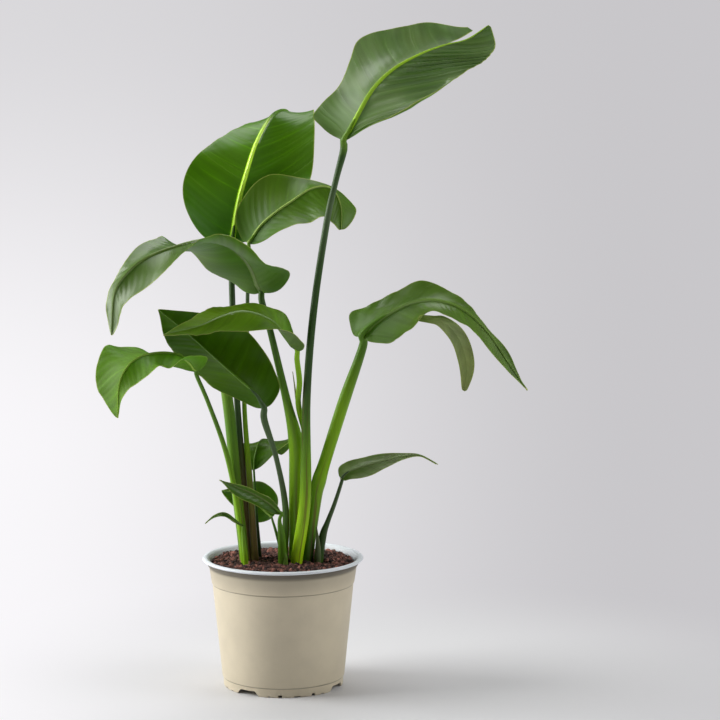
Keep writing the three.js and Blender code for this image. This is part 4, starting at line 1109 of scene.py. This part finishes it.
class PLANT_OT_leaves(bpy.types.Operator):
    """Makes the open leaves, each one piece from the soil to its tip"""
    bl_idname = "plant.make_leaves"
    bl_label = "Leaves"

    def execute(self, context):
        settings = context.scene.plant_leaf
        for number, (name, leaf) in enumerate(LEAVES.items()):
            look = {**USUAL_LOOK, **LOOKS.get(name, {})}
            small = leaf.get("small", False)
            scale = 0.55 if small else 1.0
            sculpt = Sculpt()
            stations = stalk_stations(leaf)
            tube(sculpt, stations, int(110 * scale), 20 if small else 28, 2, petiole_section)
            rows, columns = int(settings.rows * scale), int(settings.columns * (0.7 if small else 1))
            root = stations[len(leaf["stalk"])][3]
            blade(sculpt, leaf, look, rows, columns, settings.thickness, root, shift=101.0 * number)
            if "strip" in leaf:
                plain = {**look, "curl": None, "pleat": (0.08, 0.08)}
                blade(sculpt, leaf["strip"], plain, 70, 16, settings.thickness, 0.0, shift=57.0, paint=3)
            if "sheath" in leaf:
                tube(sculpt, leaf["sheath"], 40, 14, 2, tone=DRY_TIPS[name])
            finishes = [
                blade_finish(name + "_under", look, True), blade_finish(name + "_upper", look, False),
                stalk_finish(name + "_stalk", look["stalk"])]
            if "strip" in leaf:
                finishes += [blade_finish(name + "_strip_under", {**look, "under": STRIP}, True), finishes[1]]
            slot = {"leaf_middle_dark": "leaf_dark", "leaf_left_low": "leaf_young"}.get(name, "leaf")
            sculpt.piece(name + "_grown", finishes, slot, name, sharp=60)
        return {"FINISHED"}


class PLANT_OT_young_leaf(bpy.types.Operator):
    """Makes the young leaf that is still rolled: a tapering roll with its free edge winding up"""
    bl_idname = "plant.make_young_leaf"
    bl_label = "Young leaf"

    def execute(self, context):
        sculpt = Sculpt()

        def roll(angle, share):
            """One turn of a spiral: the ring grows by a tenth and steps back at the free edge."""
            turn = ((angle - 4.2 - 1.1 * share) / (2 * np.pi)) % 1
            return 0.93 + 0.12 * turn

        tube(sculpt, YOUNG_LEAF, 120, 72, 0, roll)
        young = tuple(context.scene.plant_leaf.young)
        finish = stalk_finish("young_leaf", [BRIGHT, young, young, MID, young, young])
        sculpt.piece("leaf_young_rolled_grown", [finish], "leaf_young", "leaf_young_rolled", sharp=50)
        return {"FINISHED"}


# The stage.
EYE = (0.091, -2.840, 0.737)          # the camera, in metres
LOOK_DOWN = 7.03                      # how far its view points below level, in degrees
LENS, SENSOR = 122.25, 36.0           # in millimetres
SHADOW_MIDDLE = (0.14, 0.0, 0.0)      # the middle of the part of the floor that takes shadows


class PLANT_OT_stage(bpy.types.Operator):
    """Sets up the pale floor, the soft lights, the backdrop's light and the camera"""
    bl_idname = "plant.make_stage"
    bl_label = "Stage"

    def execute(self, context):
        settings = context.scene.plant_stage
        scene = context.scene
        scene.view_settings.view_transform = "Standard"
        self.floor(settings)
        self.backdrop(scene)
        self.lamp("left_softbox", (-1.48, -0.02, 0.95), (0.0, 0.0, 0.35), 1.1, 1.3, settings.key)
        self.lamp("right_softbox", (1.55, -0.30, 1.2), (0.0, 0.0, 0.4), 1.0, 1.2, settings.fill)
        self.lamp("top_softbox", (-0.25, 0.55, 1.9), (0.0, 0.0, 0.45), 1.6, 1.2, settings.top)
        camera = bpy.data.objects.new("camera", bpy.data.cameras.new("camera"))
        scene.collection.objects.link(camera)
        camera.location = EYE
        camera.rotation_euler = (math.radians(90 - LOOK_DOWN), 0, 0)
        camera.data.lens, camera.data.sensor_width = LENS, SENSOR
        scene.camera = camera
        return {"FINISHED"}

    def floor(self, settings):
        """A wide disc that fades into a painted glow of the backdrop's colours away from the plant."""
        rings = np.array([0.0, 0.2, 0.5, 1.0, 2.0, 4.0, 9.0, 30.0])[:, None]
        a = np.linspace(0, 2 * np.pi, 96, endpoint=False)
        index = np.arange(rings.size * a.size).reshape(rings.size, a.size)
        points = np.stack([rings * np.cos(a), rings * np.sin(a), np.zeros(index.shape)], -1)
        mesh = bpy.data.meshes.new("floor")
        mesh.from_pydata(points.reshape(-1, 3).tolist(), [], lattice(index, True).tolist())
        mesh.update()
        f = Finish("floor")
        place = f.place()
        from_shadow = f.node("ShaderNodeVectorMath", {"operation": "SUBTRACT"}, {0: place, 1: SHADOW_MIDDLE})
        away = f.node("ShaderNodeVectorMath", {"operation": "LENGTH"}, {0: from_shadow}, output=1)
        from_eye = f.node("ShaderNodeVectorMath", {"operation": "SUBTRACT"}, {0: place, 1: EYE})
        way = f.node("ShaderNodeVectorMath", {"operation": "NORMALIZE"}, {0: from_eye})
        paper = f.principled(tuple(settings.floor), 0.6)
        # painted light: away from the shadow's middle the floor glows with the backdrop's colours, brighter
        # to the left, and washes out its shadows
        far = f.node("ShaderNodeEmission", None, {"Color": backdrop_colour(f, way), "Strength": 1.0})
        both = f.node("ShaderNodeMixShader", None, {0: f.step(0.16, 0.62, away), 1: paper, 2: far})
        mesh.materials.append(f.surface(both))
        floor = bpy.data.objects.new("floor", mesh)
        bpy.context.scene.collection.objects.link(floor)

    def backdrop(self, scene):
        """The world: the same pale sweep for the camera, and for light a bright rear and a dimmer front."""
        world = bpy.data.worlds.new("studio")
        scene.world = world
        f = Finish("studio", world)
        way = f.node("ShaderNodeTexCoord", output=0)
        seen = f.node("ShaderNodeBackground", None, {"Color": backdrop_colour(f, way), "Strength": 1.0})
        behind = f.node("ShaderNodeSeparateXYZ", None, {"Vector": way}, output=1)
        level = f.step(-0.6, 0.9, behind) * 0.16 + 0.025
        light = f.node("ShaderNodeBackground", None, {"Color": (1.0, 0.99, 0.985), "Strength": level})
        camera_ray = f.node("ShaderNodeLightPath", output=0)
        both = f.node("ShaderNodeMixShader", None, {0: camera_ray, 1: light, 2: seen})
        f.surface(both, "ShaderNodeOutputWorld")

    def lamp(self, name, place, aim, width, height, power):
        """A softbox at a place, turned to face its aim."""
        data = bpy.data.lights.new(name, "AREA")
        data.shape, data.size, data.size_y, data.energy = "RECTANGLE", width, height, power
        lamp = bpy.data.objects.new(name, data)
        lamp.location = place
        aim = np.array(aim) - place
        tilt, turn = math.atan2(math.hypot(aim[0], aim[1]), -aim[2]), math.atan2(aim[1], aim[0])
        lamp.rotation_euler = (tilt, 0, turn - math.pi / 2)
        bpy.context.scene.collection.objects.link(lamp)


def backdrop_colour(f, way):
    """Pale grey by the direction in which it is seen: brighter to the left, most of all low down."""
    aside, rise = (f.node("ShaderNodeSeparateXYZ", None, {"Vector": way}, output=k) for k in (0, 2))
    left = f.mix(f.step(-0.16, 0.03, rise), (0.95, 0.935, 0.96), (0.70, 0.69, 0.71))
    return f.mix(f.step(-0.16, 0.12, aside), left, (0.58, 0.57, 0.59))


# The add-on.
class PLANT_PT_panel(bpy.types.Panel):
    """Lists the steps and what may be changed"""
    bl_idname = "PLANT_PT_panel"
    bl_label = "Bird of paradise"
    bl_space_type = "VIEW_3D"
    bl_region_type = "UI"
    bl_category = "Plant"

    def draw(self, context):
        for step, group in STEPS:
            box = self.layout.box()
            box.operator(step.bl_idname)
            settings = getattr(context.scene, group)
            for key in settings.__annotations__:
                box.prop(settings, key)


GROUPS = {
    "plant_pot": PotSettings, "plant_soil": SoilSettings, "plant_leaf": LeafSettings,
    "plant_stage": StageSettings,
}
STEPS = [
    (PLANT_OT_stage, "plant_stage"), (PLANT_OT_pot, "plant_pot"), (PLANT_OT_soil, "plant_soil"),
    (PLANT_OT_leaves, "plant_leaf"), (PLANT_OT_young_leaf, "plant_leaf"),
]
CLASSES = [*GROUPS.values(), *(step for step, _ in STEPS), PLANT_PT_panel]


def register():
    """Makes the classes known and hangs the settings on the scene."""
    for cls in CLASSES:
        bpy.utils.register_class(cls)
    for name, group in GROUPS.items():
        setattr(bpy.types.Scene, name, bpy.props.PointerProperty(type=group))


def unregister():
    """Undoes register, in the opposite order."""
    for name in GROUPS:
        delattr(bpy.types.Scene, name)
    for cls in reversed(CLASSES):
        bpy.utils.unregister_class(cls)


def main():
    """Builds the stage and every piece in turn."""
    register()
    bpy.ops.plant.make_stage()
    bpy.ops.plant.make_pot()
    bpy.ops.plant.make_soil()
    bpy.ops.plant.make_leaves()
    bpy.ops.plant.make_young_leaf()


if __name__ == "__main__":
    main()
